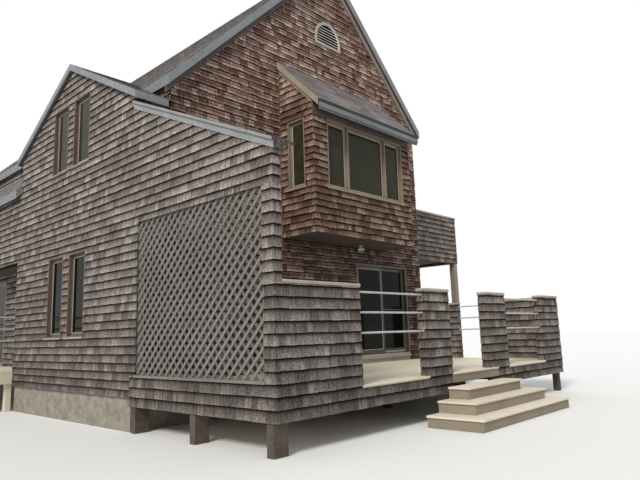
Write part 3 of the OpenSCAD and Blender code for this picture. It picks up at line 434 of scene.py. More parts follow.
class Shader(Nodes):
    """A node material on one principled shader."""

    def __init__(self, name, roughness, specular, metallic=0.0):
        self.material = bpy.data.materials.new(name)
        self.material.use_nodes = True
        super().__init__(self.material.node_tree)
        self.shader = self.tree.nodes["Principled BSDF"]
        self.set(self.shader, {"Roughness": roughness, "Specular IOR Level": specular, "Metallic": metallic})
        self.where = self.add("ShaderNodeTexCoord").outputs["Object"]

    def normal(self):
        return self.add("ShaderNodeNewGeometry").outputs["Normal"]

    def vector(self, operation, a, b, output=0):
        return self.add("ShaderNodeVectorMath", {0: a, 1: b}, operation=operation).outputs[output]

    def noise(self, scale, detail=4, roughness=0.55, offset=None):
        """Noise at one scale or three, moved by an offset."""
        scale = scale if isinstance(scale, tuple) else (scale, scale, scale)
        place = self.vector("MULTIPLY", self.where, scale)
        if offset is not None:
            place = self.vector("ADD", place, offset)
        return self.add("ShaderNodeTexNoise", {"Vector": place, "Scale": 1.0, "Detail": detail,
                                               "Roughness": roughness}).outputs["Fac"]

    def ramp(self, value, *stops):
        """A colour ramp of (place, colour) stops, where a colour may be one grey value."""
        node = self.add("ShaderNodeValToRGB", {"Fac": value})
        marks = node.color_ramp.elements
        while len(marks) < len(stops):
            marks.new(0.5)
        for mark, (place, colour) in zip(marks, stops):
            mark.position = place
            mark.color = paint(colour) if isinstance(colour, str) else (colour, colour, colour, 1)
        return node.outputs["Color"]

    def mix(self, a, b, factor, blend="MIX"):
        node = self.add("ShaderNodeMix", data_type="RGBA", blend_type=blend)
        self.set(node, {0: factor, 6: a, 7: b})
        return node.outputs[2]

    def times(self, a, b):
        return self.mix(a, b, 1.0, "MULTIPLY")

    def tones(self):
        """The tones of a board or shingle, and how far up it a place is."""
        tone = self.add("ShaderNodeAttribute", attribute_name="tone").outputs["Color"]
        return self.add("ShaderNodeSeparateColor", {0: tone}).outputs

    def along(self, vector, axis):
        return self.add("ShaderNodeSeparateXYZ", {0: vector}).outputs[axis]

    def band(self, axis, low, high):
        """1 where the surface lies between two places along an axis, else 0."""
        at = self.along(self.where, axis)
        return self.maths("MULTIPLY", self.maths("GREATER_THAN", at, low), self.maths("LESS_THAN", at, high))

    def bump(self, height, strength, distance=0.002):
        node = self.add("ShaderNodeBump", {"Height": height, "Strength": strength, "Distance": distance})
        self.set(self.shader, {"Normal": node.outputs["Normal"]})

    def done(self, colour, roughness=None):
        self.set(self.shader, {"Base Color": colour})
        if roughness is not None:
            self.set(self.shader, {"Roughness": roughness})
        return self.material


def shingles(name, tones, stain, butt_light_and_lap_shade, ragged, mottle, rise, relief):
    """Split wood: a tone for each shingle, upright grain, dark streaks, worn spots, ragged laps, a painted
    highlight along each butt, painted shade under each lap and on the undersides, and darker towards the
    bottom, partly as painted shade.
    """
    s = Shader(name, 0.88, 0.12)
    parts = s.tones()
    shift = s.add("ShaderNodeCombineXYZ", {"X": s.maths("MULTIPLY", parts[1], 31.0),
                                           "Y": s.maths("MULTIPLY", parts[0], 17.0)}).outputs[0]
    grain = s.noise((170, 170, 5), 6, 0.7, shift)
    streaks = s.noise((48, 48, 2.5), 4, 0.6, shift)
    spots = s.noise((26, 26, 62), 5, 0.7, shift)
    patches = s.noise((0.9, 0.9, 1.4), 5, 0.65)
    base = s.ramp(parts[0], *[(k / (len(tones) - 1), code) for k, code in enumerate(tones)])
    colour = s.mix(base, stain, s.ramp(patches, (0.42, 0.0), (0.72, 0.55)))
    # How high a place stands on the house; its rise ramp makes shingles darker towards the bottom, partly as
    # painted shade on the lower walls.
    height = s.maths("MULTIPLY", s.along(s.where, 2), 1 / cad_high.z)
    # Painted shade: faces that look downwards, such as the butts seen from below, are darkened.
    down = s.maths("MULTIPLY", s.along(s.normal(), 2), -1.0)
    # How far up its course a place lies, with a ragged edge: the lap ramp paints a highlight along each butt
    # and shade under the next course's butt.
    up = s.maths("ADD", parts[2], s.maths("MULTIPLY", s.maths("SUBTRACT", spots, 0.5), ragged))
    for value, *stops in ((grain, (0.3, 0.4), (0.5, 0.95), (0.7, 1.34)),
                          (streaks, (0.34, 1.18), (0.5, 0.98), (0.66, 0.55)),
                          (spots, *mottle), (height, *rise), (down, (0.3, 1.0), (0.7, 0.14)), (up, *butt_light_and_lap_shade)):
        colour = s.times(colour, s.ramp(value, *stops))
    s.bump(s.mix(s.mix(grain, streaks, 0.35), spots, relief), 0.7, 0.004)
    return s.done(colour)


def wood(name, colour, light, dark, stretch, roughness=0.6, wear=0.4, lines=0.82, bands=()):
    """Painted or stained boards: grain, dirt, wear, and other colours between given places, several of them
    painted shade and one a painted highlight.
    """
    s = Shader(name, roughness, 0.25)
    fine = s.noise(tuple(60 * k for k in stretch), 5, 0.6)
    blotch = s.noise(2.2, 5, 0.65)
    specks = s.noise(22, 3)
    base = s.mix(colour, light, s.ramp(s.tones()[0], (0.0, 0.0), (1.0, 0.6)))
    for code, *spans in bands:
        inside = 1.0
        for span in spans:
            inside = s.maths("MULTIPLY", s.band(*span), inside)
        base = s.mix(base, code, inside)
    dirty = s.mix(base, dark, s.ramp(blotch, (0.45, 0.0), (0.75, wear)))
    worn = s.mix(dirty, light, s.ramp(specks, (0.55, 0.0), (0.8, wear)))
    s.bump(fine, 0.35, 0.0012)
    rough = s.ramp(blotch, (0.3, roughness - 0.1), (0.7, roughness + 0.15))
    return s.done(s.times(worn, s.ramp(fine, (0.3, lines), (0.6, 1.04))), rough)


def roof_tabs():
    """Asphalt shingles: a tone for each tab, mineral granules, and painted shade at the top of each row under
    the next.
    """
    s = Shader("roof_granules", 0.95, 0.2)
    parts = s.tones()
    grains = s.noise(75, 6, 0.85)
    patches = s.noise(1.3, 5, 0.6)
    base = s.ramp(parts[0], (0.0, "#67625f"), (0.5, "#777270"), (1.0, "#8a8481"))
    mossy = s.mix(base, "#6a6a5c", s.ramp(patches, (0.5, 0.0), (0.75, 0.5)))
    s.bump(grains, 0.6, 0.0015)
    # The last ramp darkens the top of each row of tabs as painted shade under the next row's butts.
    return s.done(s.times(s.times(mossy, s.ramp(grains, (0.38, 0.4), (0.5, 0.95), (0.62, 1.6))),
                          s.ramp(parts[2], (0.0, 1.0), (0.8, 0.95), (1.0, 0.6))))


def roof_boards():
    """A roof's boards: grey paint on its upright edges, dark stain below."""
    s = Shader("roof_boards", 0.75, 0.2)
    down = s.maths("ABSOLUTE", s.along(s.normal(), 2), 0.0)
    grain = s.noise((12, 12, 40), 5, 0.6)
    edge = s.mix("#84878a", "#6b6e70", s.ramp(grain, (0.4, 0.0), (0.7, 1.0)))
    under = s.mix("#57504a", "#3d3732", s.ramp(grain, (0.35, 0.0), (0.65, 1.0)))
    s.bump(grain, 0.3, 0.001)
    return s.done(s.mix(edge, under, s.ramp(down, (0.2, 0.0), (0.4, 1.0))))


def backing(name, outside, plaster, reveal=0.0):
    """Building paper on a wall's outer face and plaster inside. With a reveal of 1 its holes are dark too."""
    s = Shader(name, 0.9, 0.1)
    facing = s.maths("ADD", s.vector("DOT_PRODUCT", s.normal(), outside, "Value"), reveal)
    trowel = s.noise(9, 5)
    inner = s.mix(plaster, "#b9b2a4", s.ramp(trowel, (0.4, 0.0), (0.7, 0.35)))
    outer = s.mix("#2b241f", "#1f1a17", s.ramp(trowel, (0.3, 0.0), (0.7, 0.8)))
    s.bump(trowel, 0.2)
    return s.done(s.mix(inner, outer, s.ramp(facing, (0.4, 0.0), (0.6, 1.0))))


def stone():
    s = Shader("foundation_stone", 0.9, 0.15)
    coarse = s.noise(6, 8, 0.7)
    fine = s.noise(70, 4, 0.7)
    base = s.ramp(coarse, (0.3, "#757066"), (0.5, "#8e897f"), (0.72, "#a49f95"))
    s.bump(s.mix(coarse, fine, 0.5), 0.7, 0.004)
    return s.done(s.times(base, s.ramp(fine, (0.35, 0.75), (0.6, 1.05))))


def metal(name, colour, stain, roughness, metallic=0.0):
    s = Shader(name, roughness, 0.5, metallic)
    cloud = s.noise(7, 5, 0.6)
    pits = s.noise(120, 2)
    base = s.mix(colour, stain, s.ramp(cloud, (0.48, 0.0), (0.75, 0.6)))
    s.bump(pits, 0.15, 0.0006)
    rough = s.ramp(cloud, (0.3, roughness - 0.08), (0.7, roughness + 0.15))
    return s.done(s.times(base, s.ramp(pits, (0.3, 0.9), (0.6, 1.02))), rough)


def glass():
    """Tinted double glazing, slightly wavy and a little dusty, and darker on the ground floor as painted
    shade.
    """
    s = Shader("window_pane", 0.04, 0.35)
    dust = s.noise(5, 6, 0.7)
    s.set(s.shader, {"Transmission Weight": 0.6, "IOR": 1.18})
    s.bump(s.noise(1.6, 2), 0.12, 0.02)
    tint = s.mix("#484839", "#5a5846", s.ramp(dust, (0.4, 0.0), (0.75, 1.0)))
    # Below the overhang's height the glass is dark as painted shade.
    return s.done(s.mix(tint, "#191b17", s.band(2, 0, over_lo.z)), s.ramp(dust, (0.4, 0.03), (0.8, 0.12)))


# The rise ramps darken shingles towards the bottom of the house, partly as painted shade on the lower walls.
CEDAR_SPOTS, CEDAR_RISE = ((0.33, 0.3), (0.5, 0.95), (0.65, 1.8)), ((0.2, 0.5), (0.6, 0.98))
# In each look the ramp after the stain colour is painted light in every course: a painted highlight along the
# butt and painted shade under the next butt; the cedar's also has a dark line across the middle.
WEATHERED = shingles("weathered_shingles", ("#6c645f", "#7f7670", "#8b827c", "#a0968f"), "#5a524d",
                     ((0.0, 1.34), (0.3, 1.04), (0.6, 0.78), (0.77, 0.36), (0.88, 0.05)), 0.1,
                     ((0.32, 0.5), (0.5, 0.98), (0.68, 1.5)),
                     ((0.05, 0.6), (0.11, 0.82), (0.5, 1.05)), 0.3)
CEDAR = shingles("cedar_shingles", ("#624a40", "#7f665b", "#937b70", "#b09c91"), "#55403a",
                 ((0.0, 1.55), (0.28, 1.35), (0.4, 0.5), (0.5, 0.5), (0.62, 1.25), (0.74, 0.85),
                  (0.8, 0.2), (0.85, 0.02)), 0.4, CEDAR_SPOTS, CEDAR_RISE, 0.5)
BAY_CEDAR = shingles("bay_cedar_shingles", ("#5a4338", "#775e51", "#8c7365", "#a99284"), "#4f3b32",
                     ((0.0, 1.6), (0.3, 1.2), (0.6, 0.8), (0.76, 0.3), (0.85, 0.02)), 0.3,
                     CEDAR_SPOTS, CEDAR_RISE, 0.5)

# Grain stretched along an axis, and the spans (axis, low, high) where a trim changes colour, several of them
# painted shade and one a painted highlight

TRIM_GRAIN, UP_GRAIN, X_GRAIN, LONG_GRAIN = (0.25, 0.25, 1), (1, 1, 0.08), (0.1, 1, 1), (0.06, 1, 1)
GREY = ("#84878a", "#9c9fa0", "#5f6163", TRIM_GRAIN)
LEFT_SLOPE, RIGHT_SLOPE = (0, left_x - PAST, ridge_x), (0, ridge_x, right_x + PAST)
RAKES = (1, front_y - RAKE_OUT, rear_y + RAKE_OUT)
BAY_BOARD_Y = bay_roof_lo.y + TRIM_T + HAIR
GREY_TRIM = wood("grey_trim_paint", *GREY, wear=0.5)
# The darkest band, on the front of the left slope's rake boards, is a painted shadow line.
ROOF_TRIM = wood("roof_trim_paint", *GREY, wear=0.5,
                 bands=(("#97897a", RAKES, RIGHT_SLOPE), ("#9d9d97", RAKES, LEFT_SLOPE),
                        ("#453e3a", (1, front_y - RAKE_OUT, front_y + 0.01), LEFT_SLOPE)))
# A dark band at the top of the bay's fascia is a painted shadow under the roof's edge, and its set-back lower
# board and underside are dark as painted shade.
BAY_TRIM = wood("bay_trim_paint", "#767a7c", "#8b8e8f", "#585b5d", TRIM_GRAIN,
                bands=(("#232527", (2, bay_drip_z - 0.07, bay_drip_z + 0.01)),
                       ("#9c8d7f", (1, BAY_BOARD_Y, front_y)),
                       ("#3b3632", (1, bay_roof_lo.y + HAIR, BAY_BOARD_Y))))
# The louvres are paler over their first few centimetres as a painted highlight, and everything deeper in the
# vent is dark as painted shade.
VENT_PAINT = wood("vent_paint", "#aaa49b", "#c4bfb6", "#7b766e", X_GRAIN,
                  bands=(("#e8e4dc", (1, front_y - 0.02, front_y + 0.008)),
                         ("#1f1c1b", (1, front_y + 0.008, front_y + PAST))))
# The screen cap's front end is dark as painted shade.
CAP_TRIM = wood("screen_cap_paint", "#8d8f91", "#a3a5a5", "#626466", TRIM_GRAIN, wear=0.5,
                bands=(("#3b3734", (1, screen_cap_y - PAST, screen_cap_y + 0.002)),))
RED_TRIM = wood("red_stained_trim", "#6d4535", "#8a6150", "#452b22", UP_GRAIN, 0.7, 0.5)
POST_WOOD = wood("post_wood", "#948a7d", "#aaa194", "#6b6257", UP_GRAIN, 0.75)
SOFFIT_WOOD = wood("soffit_wood", "#57504a", "#6d645b", "#37312c", X_GRAIN, 0.8, 0.5)
DECK_PAINT = wood("deck_paint", "#d3c8b4", "#e0d7c7", "#afa38f", LONG_GRAIN, 0.6, 0.15, 0.93)
# The deck's paint made darker for the risers and the deck's edge board, as painted shade on faces that look
# to the front.
SHADED_DECK_PAINT = wood("deck_paint_in_painted_shade", "#8a806f", "#9b917f", "#6e6559", (0.06, 0.06, 1), 0.65, 0.3, 0.93)
CAP_WOOD = wood("cap_wood", "#a39a8c", "#c2b9aa", "#776e62", X_GRAIN, 0.7, 0.45)
WINDOW_WOOD = wood("window_stain", "#877a6c", "#a29384", "#5a4f45", UP_GRAIN, 0.5, 0.5,
                   bands=(("#5f5148", (0, left_x - PAST, inner_left_x - 0.1)),))
BEAD_PAINT = wood("bead_paint", "#aea391", "#c2b8a7", "#857a69", UP_GRAIN, 0.5, 0.3)
SILL_WOOD = wood("sill_wood", "#8d7f6e", "#a8998a", "#63574a", (0.2, 0.2, 1))
# The rear layer of slats is darker as painted shade cast by the front layer.
LATTICE_WOOD = wood("lattice_slats", "#787671", "#94928d", "#4c4a46", (1, 0.5, 0.5), 0.75,
                    bands=(("#5d5b57", (0, lattice_lo.x + 0.003, screen_hi.x)),))
LATTICE_LEDGE = wood("lattice_ledge", "#6b6761", "#88827a", "#4a4641", (0.5, 0.1, 1), 0.75, 0.6)
FLOOR_WOOD = wood("floor_boards", "#7a5f48", "#93765c", "#574232", LONG_GRAIN, 0.45)
ROUGH_WOOD = wood("rough_timber", "#5a5149", "#756b60", "#3b342d", (0.3, 0.3, 0.3), 0.85, 0.6)
PIPE = metal("pipe_paint", "#b3b6b6", "#8f908c", 0.42)
DOOR_PAINT = metal("door_paint", "#4a443e", "#3a3530", 0.45)
# Pale strips on the door's edges: painted highlights.
DOOR_EDGE_HIGHLIGHT = metal("door_edge_painted_highlight", "#a8a49c", "#85817a", 0.35)
DARK_METAL = metal("dark_metal", "#2c2b29", "#4a4742", 0.4, 0.6)
LAMP_WHITE = metal("lamp_enamel", "#d2d0c8", "#a9a69c", 0.3)
ROOF = roof_tabs()


def dress_frame():
    """A finish for every CAD node that stays in view."""
    walls = (("front_wall_left", -Y), ("front_wall_right", -Y), ("gable_wall", -Y), ("side_gable_wall", -X),
             ("side_gable_return", Y), ("porch_wall", -X), ("overhang_wall", -X - Z), ("right_wall", X),
             ("rear_wall", Y))
    looks = [(backing("backing_" + node, side, "#c9c3b5", float(node == "gable_wall")), node)
             for node, side in walls]
    looks += [(backing("backing_" + node, (0, 0, 0), "#3a312b"), node)
              for node in ("bay_walls", "screen_wall", "parapets", "balcony_parapet", "deck_skirt")]
    looks += [(GREY_TRIM, "side_roof_trim"), (ROOF_TRIM, "main_roof_trim"), (BAY_TRIM, "bay_roof_trim"),
              (VENT_PAINT, "gable_vent"), (CAP_TRIM, "screen_cap"), (POST_WOOD, "balcony_posts"),
              (SOFFIT_WOOD, "porch_soffit", "bay_floor"),
              (roof_boards(), "main_roof_left", "main_roof_right", "side_roof_front", "side_roof_rear",
               "pent_roof", "bay_roof"),
              (ROUGH_WOOD, "deck_joists", "deck_posts", "balcony_floor"),
              (FLOOR_WOOD, "ground_floor", "upper_floor"), (stone(), "foundation"),
              (WINDOW_WOOD, "window_frames"), (glass(), "window_glass", "front_door_glass"),
              (LATTICE_WOOD, "lattice_front", "lattice_middle", "lattice_rear"),
              (DOOR_PAINT, "front_door_frame", "front_door_panel"), (CAP_WOOD, "door_sill")]
    for material, *nodes in looks:
        for node in nodes:
            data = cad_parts[node].data
            data.materials.clear()
            data.materials.append(material)


# The shingled faces of the house

def clad(name, faces, material=WEATHERED):
    """One piece of shingles over some faces: neat weathered ones, or ragged cedar ones."""
    neat = material is WEATHERED
    laid = Builder()
    for face in faces:
        face.cover(laid, RAGGED if neat else RAGGED_CEDAR)
    laid.finish(name, material, "weathered_shingle" if neat else "cedar_shingle")


def shingle_left_side():
    """The side gable, the overhang and the screen wall, all in the plane of the left wall."""
    end, front, edge = rear_y - side_end_y, rear_y - front_y, rear_y - deck_y
    eave = side_roof_z(side_end_y) - side_drop
    face = Face((left_x, rear_y), -Y)
    face.add(rect(0, over_lo.z, end, overhang_top), 0)
    face.add(rect(end, foundation_top, front, over_lo.z), end)
    face.add([(end, over_lo.z), (front, over_lo.z), (front, eave), (rear_y - side_ridge_y, side_hi.z),
              (end, eave)])
    face.add([(front, lattice_hi.z), (edge, lattice_hi.z), (edge, screen_front_top),
              (front, screen_hi.z)], edge)
    face.add(rect(front, lattice_lo.z, rear_y - lattice_hi.y, lattice_hi.z))
    face.open_windows()
    low = Face((left_x, rear_y), -Y, DECK_COURSES)
    low.add(rect(front, screen_lo.z, edge, lattice_lo.z), edge)
    low.add(rect(rear_y - lattice_lo.y, lattice_lo.z, edge, lattice_hi.z), edge)
    clad("left_side_shingles", (face, low))


def shingle_screen_inside():
    """The screen wall's face towards the deck."""
    depth = front_y - deck_y
    low, high = (Face((screen_hi.x, deck_y), Y, courses) for courses in (DECK_COURSES, HOUSE_COURSES))
    low.add(rect(0, deck_hi.z, depth, lattice_hi.z), 0)
    low.hole((lattice_lo.y - deck_y, lattice_lo.z, lattice_hi.y - deck_y, lattice_hi.z),
             (-OVER, 0, parapet_t, parapet_top))
    high.add([(0, lattice_hi.z), (depth, lattice_hi.z), (depth, screen_hi.z), (0, screen_front_top)], 0)
    clad("screen_inside_shingles", (low, high))


def shingle_deck_front():
    """The deck's front and right: the screen's post, the skirts, and the parapets over them."""
    face = Face((left_x, deck_y), X, DECK_COURSES)
    for low, high in solids("deck_skirt"):
        start = 0 if low.x < left_x + PAST else low.x - left_x
        face.add(rect(start, skirt_lo.z, high.x - left_x, skirt_hi.z), 0, skirt_hi.x - left_x)
    for low, high in front_posts:
        start, stop = 0 if low.x < left_x + PAST else low.x - left_x, high.x - left_x
        face.add(rect(start, skirt_hi.z, stop, parapet_top), start, stop)
    fin_t = screen_hi.x - left_x
    face.add(rect(0, parapet_top, fin_t, lattice_hi.z), 0, fin_t)
    high = Face((left_x, deck_y), X)
    high.add(rect(0, lattice_hi.z, fin_t, screen_front_top), 0, fin_t)
    side = Face((skirt_hi.x, deck_y), Y, DECK_COURSES)
    depth, corner, back = front_y - deck_y, corner_post[1].y - deck_y, back_post[0].y - deck_y
    side.add(rect(0, skirt_lo.z, depth, skirt_hi.z), 0)
    side.add(rect(0, skirt_hi.z, corner, parapet_top), 0, corner)
    side.add(rect(back, skirt_hi.z, depth, parapet_top), back)
    clad("deck_front_shingles", (face, high, side))


def box_faces(low, high, sides, courses=DECK_COURSES):
    """Faces on some sides of an upright box, woven at its corners."""
    faces = []
    for side in sides:
        axis = "xy".index(side[1])
        length = (high - low)[1 - axis]
        origin, u = {"-y": ((low.x, low.y), X), "+x": ((high.x, low.y), Y),
                     "+y": ((high.x, high.y), -X), "-x": ((low.x, high.y), -Y)}[side]
        face = Face(origin, u, courses)
        face.add(rect(0, low.z, length, high.z), 0, length)
        faces.append(face)
    return faces


def shingle_parapets():
    """The ends and inner faces of the deck's parapets, and the side deck's two piers."""
    faces = []
    for low, high in front_posts[:-1]:
        faces += box_faces(low, high, ("+y", "+x") if low.x < left_x + PAST else ("+y", "-x", "+x"))
    low, high = corner_post
    leg_x, inner_y = high.x - parapet_t, low.y + parapet_t
    faces += box_faces(low, Vector((leg_x + OVER, inner_y, high.z)), ("+y", "-x"))
    faces += box_faces(Vector((leg_x, inner_y - OVER, low.z)), high, ("-x", "+y"))
    faces += box_faces(*back_post, ("-x", "-y"))
    for low, high in side_posts:
        faces += box_faces(low, high, ("-x", "+x", "-y", "+y"))
    clad("parapet_shingles", faces)


def shingle_front():
    """The front wall and its gable, round the door, the bay and the vent."""
    face = Face((0, front_y), X)
    eave = side_roof_z(front_y) - side_drop
    face.add(rect(screen_hi.x, deck_hi.z, inner_left_x, eave))
    face.add(rect(left_x, screen_hi.z, screen_hi.x, eave), left_x)
    face.add([(inner_left_x, deck_hi.z), (right_x, deck_hi.z), (right_x, wall_top_z(right_x)),
              (ridge_x, main_hi.z), (inner_left_x, wall_top_z(inner_left_x))], right_x)
    radius = (vent_hi.x - vent_lo.x) / 2 - VENT_LAP
    spring = vent_hi.z - radius
    face.hole((door_lo.x, door_sill_z, door_hi.x, door_hi.z),
              (bay_lo.x, bay_floor_z, bay_hi.x, bay_roof_hi.z), (vent_lo.x, vent_lo.z, vent_hi.x, spring))
    for i in range(VENT_STEPS):
        low, high = radius * i / VENT_STEPS, radius * (i + 1) / VENT_STEPS
        reach = math.sqrt(radius ** 2 - ((low + high) / 2) ** 2)
        face.hole((ridge_x - reach, spring + low, ridge_x + reach, spring + high))
    clad("front_shingles", [face], CEDAR)


def shingle_bay():
    """The bay's three walls, the frieze below its roof, dark as painted shade under the eave, and the strips
    in its corners.
    """
    width, depth = bay_hi.x - bay_lo.x, front_y - bay_lo.y
    low, eave, top = bay_floor_z - BAY_DRIP, bay_eave_z, bay_hi.z
    head = max(b.z for a, b in windows if b.z < bay_hi.z and a.y < bay_lo.y + NEAR)
    front = Face((bay_lo.x, bay_lo.y), X, BAY_COURSES)
    front.add(rect(0, low, width, head), 0, width)
    left = Face((bay_lo.x, front_y), -Y, BAY_COURSES)
    left.add([(0, low), (depth, low), (depth, eave), (0, top)], depth)
    right = Face((bay_hi.x, bay_lo.y), Y, BAY_COURSES)
    right.add([(0, low), (depth, low), (depth, top), (0, eave)], 0)
    for face in (front, left, right):
        face.open_windows()
    clad("bay_shingles", (front, left, right), BAY_CEDAR)
    frieze = (bay_lo.x - OVER, bay_lo.y - FRIEZE_T, head), (bay_hi.x + OVER, bay_lo.y, eave - FRIEZE_T / 2)
    strips = [((x, front_y - CORNER_T, low), (x + CORNER_T, front_y, top))
              for x in (bay_lo.x - CORNER_T, bay_hi.x)]
    # The frieze board is dark as painted shade under the bay's eave.
    make_boards("bay_frieze_painted_shade", [frieze], EDGE_EASED, SOFFIT_WOOD, "grey_trim")
    make_boards("bay_corner_strips", strips, EASED, RED_TRIM, "cedar_shingle")


def shingle_porch():
    """The porch's wall, and the end of the side gable that closes it to the front."""
    end, width = rear_y - side_end_y, inner_left_x - left_x
    wall = Face((inner_left_x, rear_y), -Y)
    wall.add(rect(0, side_deck_hi.z, end, over_lo.z), 0)
    wall.add(rect(0, pent_hi.z, end, wall_top_z(inner_left_x)))
    wall.open_windows()
    close = Face((inner_left_x, side_end_y), -X)
    close.add(rect(0, foundation_top, width, over_lo.z), width)
    clad("porch_shingles", (wall, close))


def shingle_cheek():
    """Closes the end of the front wall between the side gable's roof and the main roof's eave."""
    under = wall_top_z(inner_left_x)
    end_y = side_ridge_y - (side_ridge_z - under) / side_slope
    length = end_y - front_y
    outline = [(0, under), (length, side_roof_z(front_y)), (length, under)]
    face = Face((inner_left_x - CHEEK_OUT, end_y), -Y)
    face.add(outline, length)
    back = Builder()
    back.prism([face.point(u, v, -CHEEK_T) for u, v in outline],
               [face.point(u, v, -HAIR) for u, v in outline], [PLAIN_TONE] * 6)
    back.finish("cheek_backing", ROUGH_WOOD, "cedar_shingle")
    clad("cheek_shingles", [face], CEDAR)


def shingle_rear():
    face = Face((right_x, rear_y), -X)
    inner, outer, peak = right_x - inner_left_x, right_x - left_x, right_x - ridge_x
    face.add(rect(0, foundation_top, inner, over_lo.z), 0, inner)
    face.add([(0, over_lo.z), (inner, over_lo.z), (inner, wall_top_z(inner_left_x)), (peak, main_hi.z),
              (0, wall_top_z(right_x))], 0)
    face.add([(inner, over_lo.z), (outer, over_lo.z), (outer, overhang_top),
              (inner, overhang_top + outer - inner)], outer)
    face.open_windows()
    clad("rear_shingles", [face], CEDAR)


def shingle_right():
    face = Face((right_x, front_y), Y)
    length = rear_y - front_y
    face.add(rect(0, foundation_top, length, wall_top_z(right_x)), 0, length)
    face.open_windows()
    clad("right_shingles", [face], CEDAR)


def shingle_balcony():
    """The balcony's three parapets, outside and inside, under a cap."""
    low = Vector((right_x, balcony_lo.y + TRIM_T, balcony_lo.z))
    high = Vector((balcony_hi.x - TRIM_T, balcony_hi.y - TRIM_T, balcony_hi.z - cap_t))
    x, y0, y1 = high.x - balcony_wall_t, low.y + balcony_wall_t, high.y - balcony_wall_t
    faces = box_faces(low, high, ("-y", "+x", "+y"), BALCONY_COURSES)
    for side, a, b in (("+y", (low.x, low.y), (x, y0)), ("-y", (low.x, y1), (x, high.y)),
                       ("-x", (x, y0), (high.x, y1))):
        faces += box_faces(Vector((*a, balcony_floor_hi.z)), Vector((*b, high.z)), [side], BALCONY_COURSES)
    clad("balcony_shingles", faces)


# The roofs

def cover_roof(builder, origin, u, v, *outlines):
    face = Face(origin, u, (0, TAB), v)
    for outline in outlines:
        face.add(outline)
    face.cover(builder, 0.0, TABS)


def lay_main_roof():
    """Both slopes of the main roof, with the side gable's valleys left open on the left."""
    tabs = Builder()
    front, rear, eave_x = roof_lo.y - TRIM_T, roof_hi.y + TRIM_T, roof_lo.x
    length, slope = rear - front, (ridge_x - eave_x) * ROOT2
    apex = (rear - side_ridge_y, (ridge_x - (ridge_z - side_ridge_z) - eave_x) * ROOT2)
    reach = (side_ridge_z - main_roof_z(eave_x)) / side_slope
    left, right = apex[0] - reach, apex[0] + reach
    cover_roof(tabs, (eave_x, rear, main_roof_z(eave_x)), -Y, X + Z,
               [(0, 0), (left, 0), apex, (apex[0], slope), (0, slope)],
               [(right, 0), (length, 0), (length, slope), (apex[0], slope), apex])
    cover_roof(tabs, (right_eave_x, front, main_roof_z(right_eave_x)), Y, Z - X,
               rect(0, 0, length, (right_eave_x - ridge_x) * ROOT2))
    ring = [(x, drop) for drop, xs in ((0, (-RIDGE_WING, 0, RIDGE_WING)),
                                       (RIDGE_T, (RIDGE_WING, 0, -RIDGE_WING))) for x in xs]
    at = front
    while at < rear - MARGIN:
        tone = (rng.random(), rng.random(), 0.4, 1)
        back, over = ([Vector((ridge_x + x, y, ridge_z + lift - drop - abs(x))) for x, drop in ring]
                      for y, lift in zip((at, min(at + TAB_W, rear)), RIDGE_LIFTS))
        tabs.prism(back, over, [tone] * 12)
        at += TAB_W * RIDGE_STEP
    tabs.finish("main_roof_tabs", ROOF, "roof_shingle")


def lay_side_roofs():
    """The side gable's two slopes, the pent roof behind it and the bay's roof."""
    tabs = Builder()
    run, edge = side_ridge_y - side_roof_lo.y, side_roof_lo.x - TRIM_T
    slope, wall, eave_z = run / math.cos(SIDE_PITCH), inner_left_x - edge, side_roof_z(side_roof_lo.y)
    valley_v = (main_roof_z(inner_left_x) - eave_z) / math.sin(SIDE_PITCH)
    peak_u = ridge_x - (ridge_z - side_ridge_z) - edge
    shape = [rect(0, 0, wall, slope), [(wall, valley_v), (peak_u, slope), (wall, slope)]]
    mirrored = [[(peak_u - u, v) for u, v in reversed(outline)] for outline in shape]
    cover_roof(tabs, (edge, side_roof_lo.y, eave_z), X, Y + Z * side_slope, *shape)
    cover_roof(tabs, (edge + peak_u, side_rear_y, side_roof_z(side_rear_y)), -X, Z * side_slope - Y,
               *mirrored)
    drop = inner_left_x - pent_lo.x
    cover_roof(tabs, (pent_lo.x, pent_hi.y, pent_hi.z - drop), -Y, X + Z,
               rect(0, 0, pent_hi.y - side_end_y, drop * ROOT2))
    cover_roof(tabs, (bay_roof_lo.x - TRIM_T, bay_roof_lo.y, bay_drip_z), X, Y + Z,
               rect(0, 0, bay_roof_hi.x - bay_roof_lo.x + 2 * TRIM_T, (front_y - bay_roof_lo.y) * ROOT2))
    tabs.finish("low_roof_tabs", ROOF, "roof_shingle")


# Boards, caps, rails and fittings

def lay_boards(builder, low, high, axis, gap=BOARD_GAP, bevel=EASED):
    """Fills a box with boards that run along one axis."""
    other = 1 - axis
    count = round((high[other] - low[other]) / BOARD_W)
    pitch = (high[other] - low[other]) / count
    for i in range(count):
        a, b = low.copy(), high.copy()
        a[other] = low[other] + i * pitch + (gap / 2 if i else 0)
        b[other] = low[other] + (i + 1) * pitch - (gap / 2 if i < count - 1 else 0)
        builder.board(a, b, bevel)


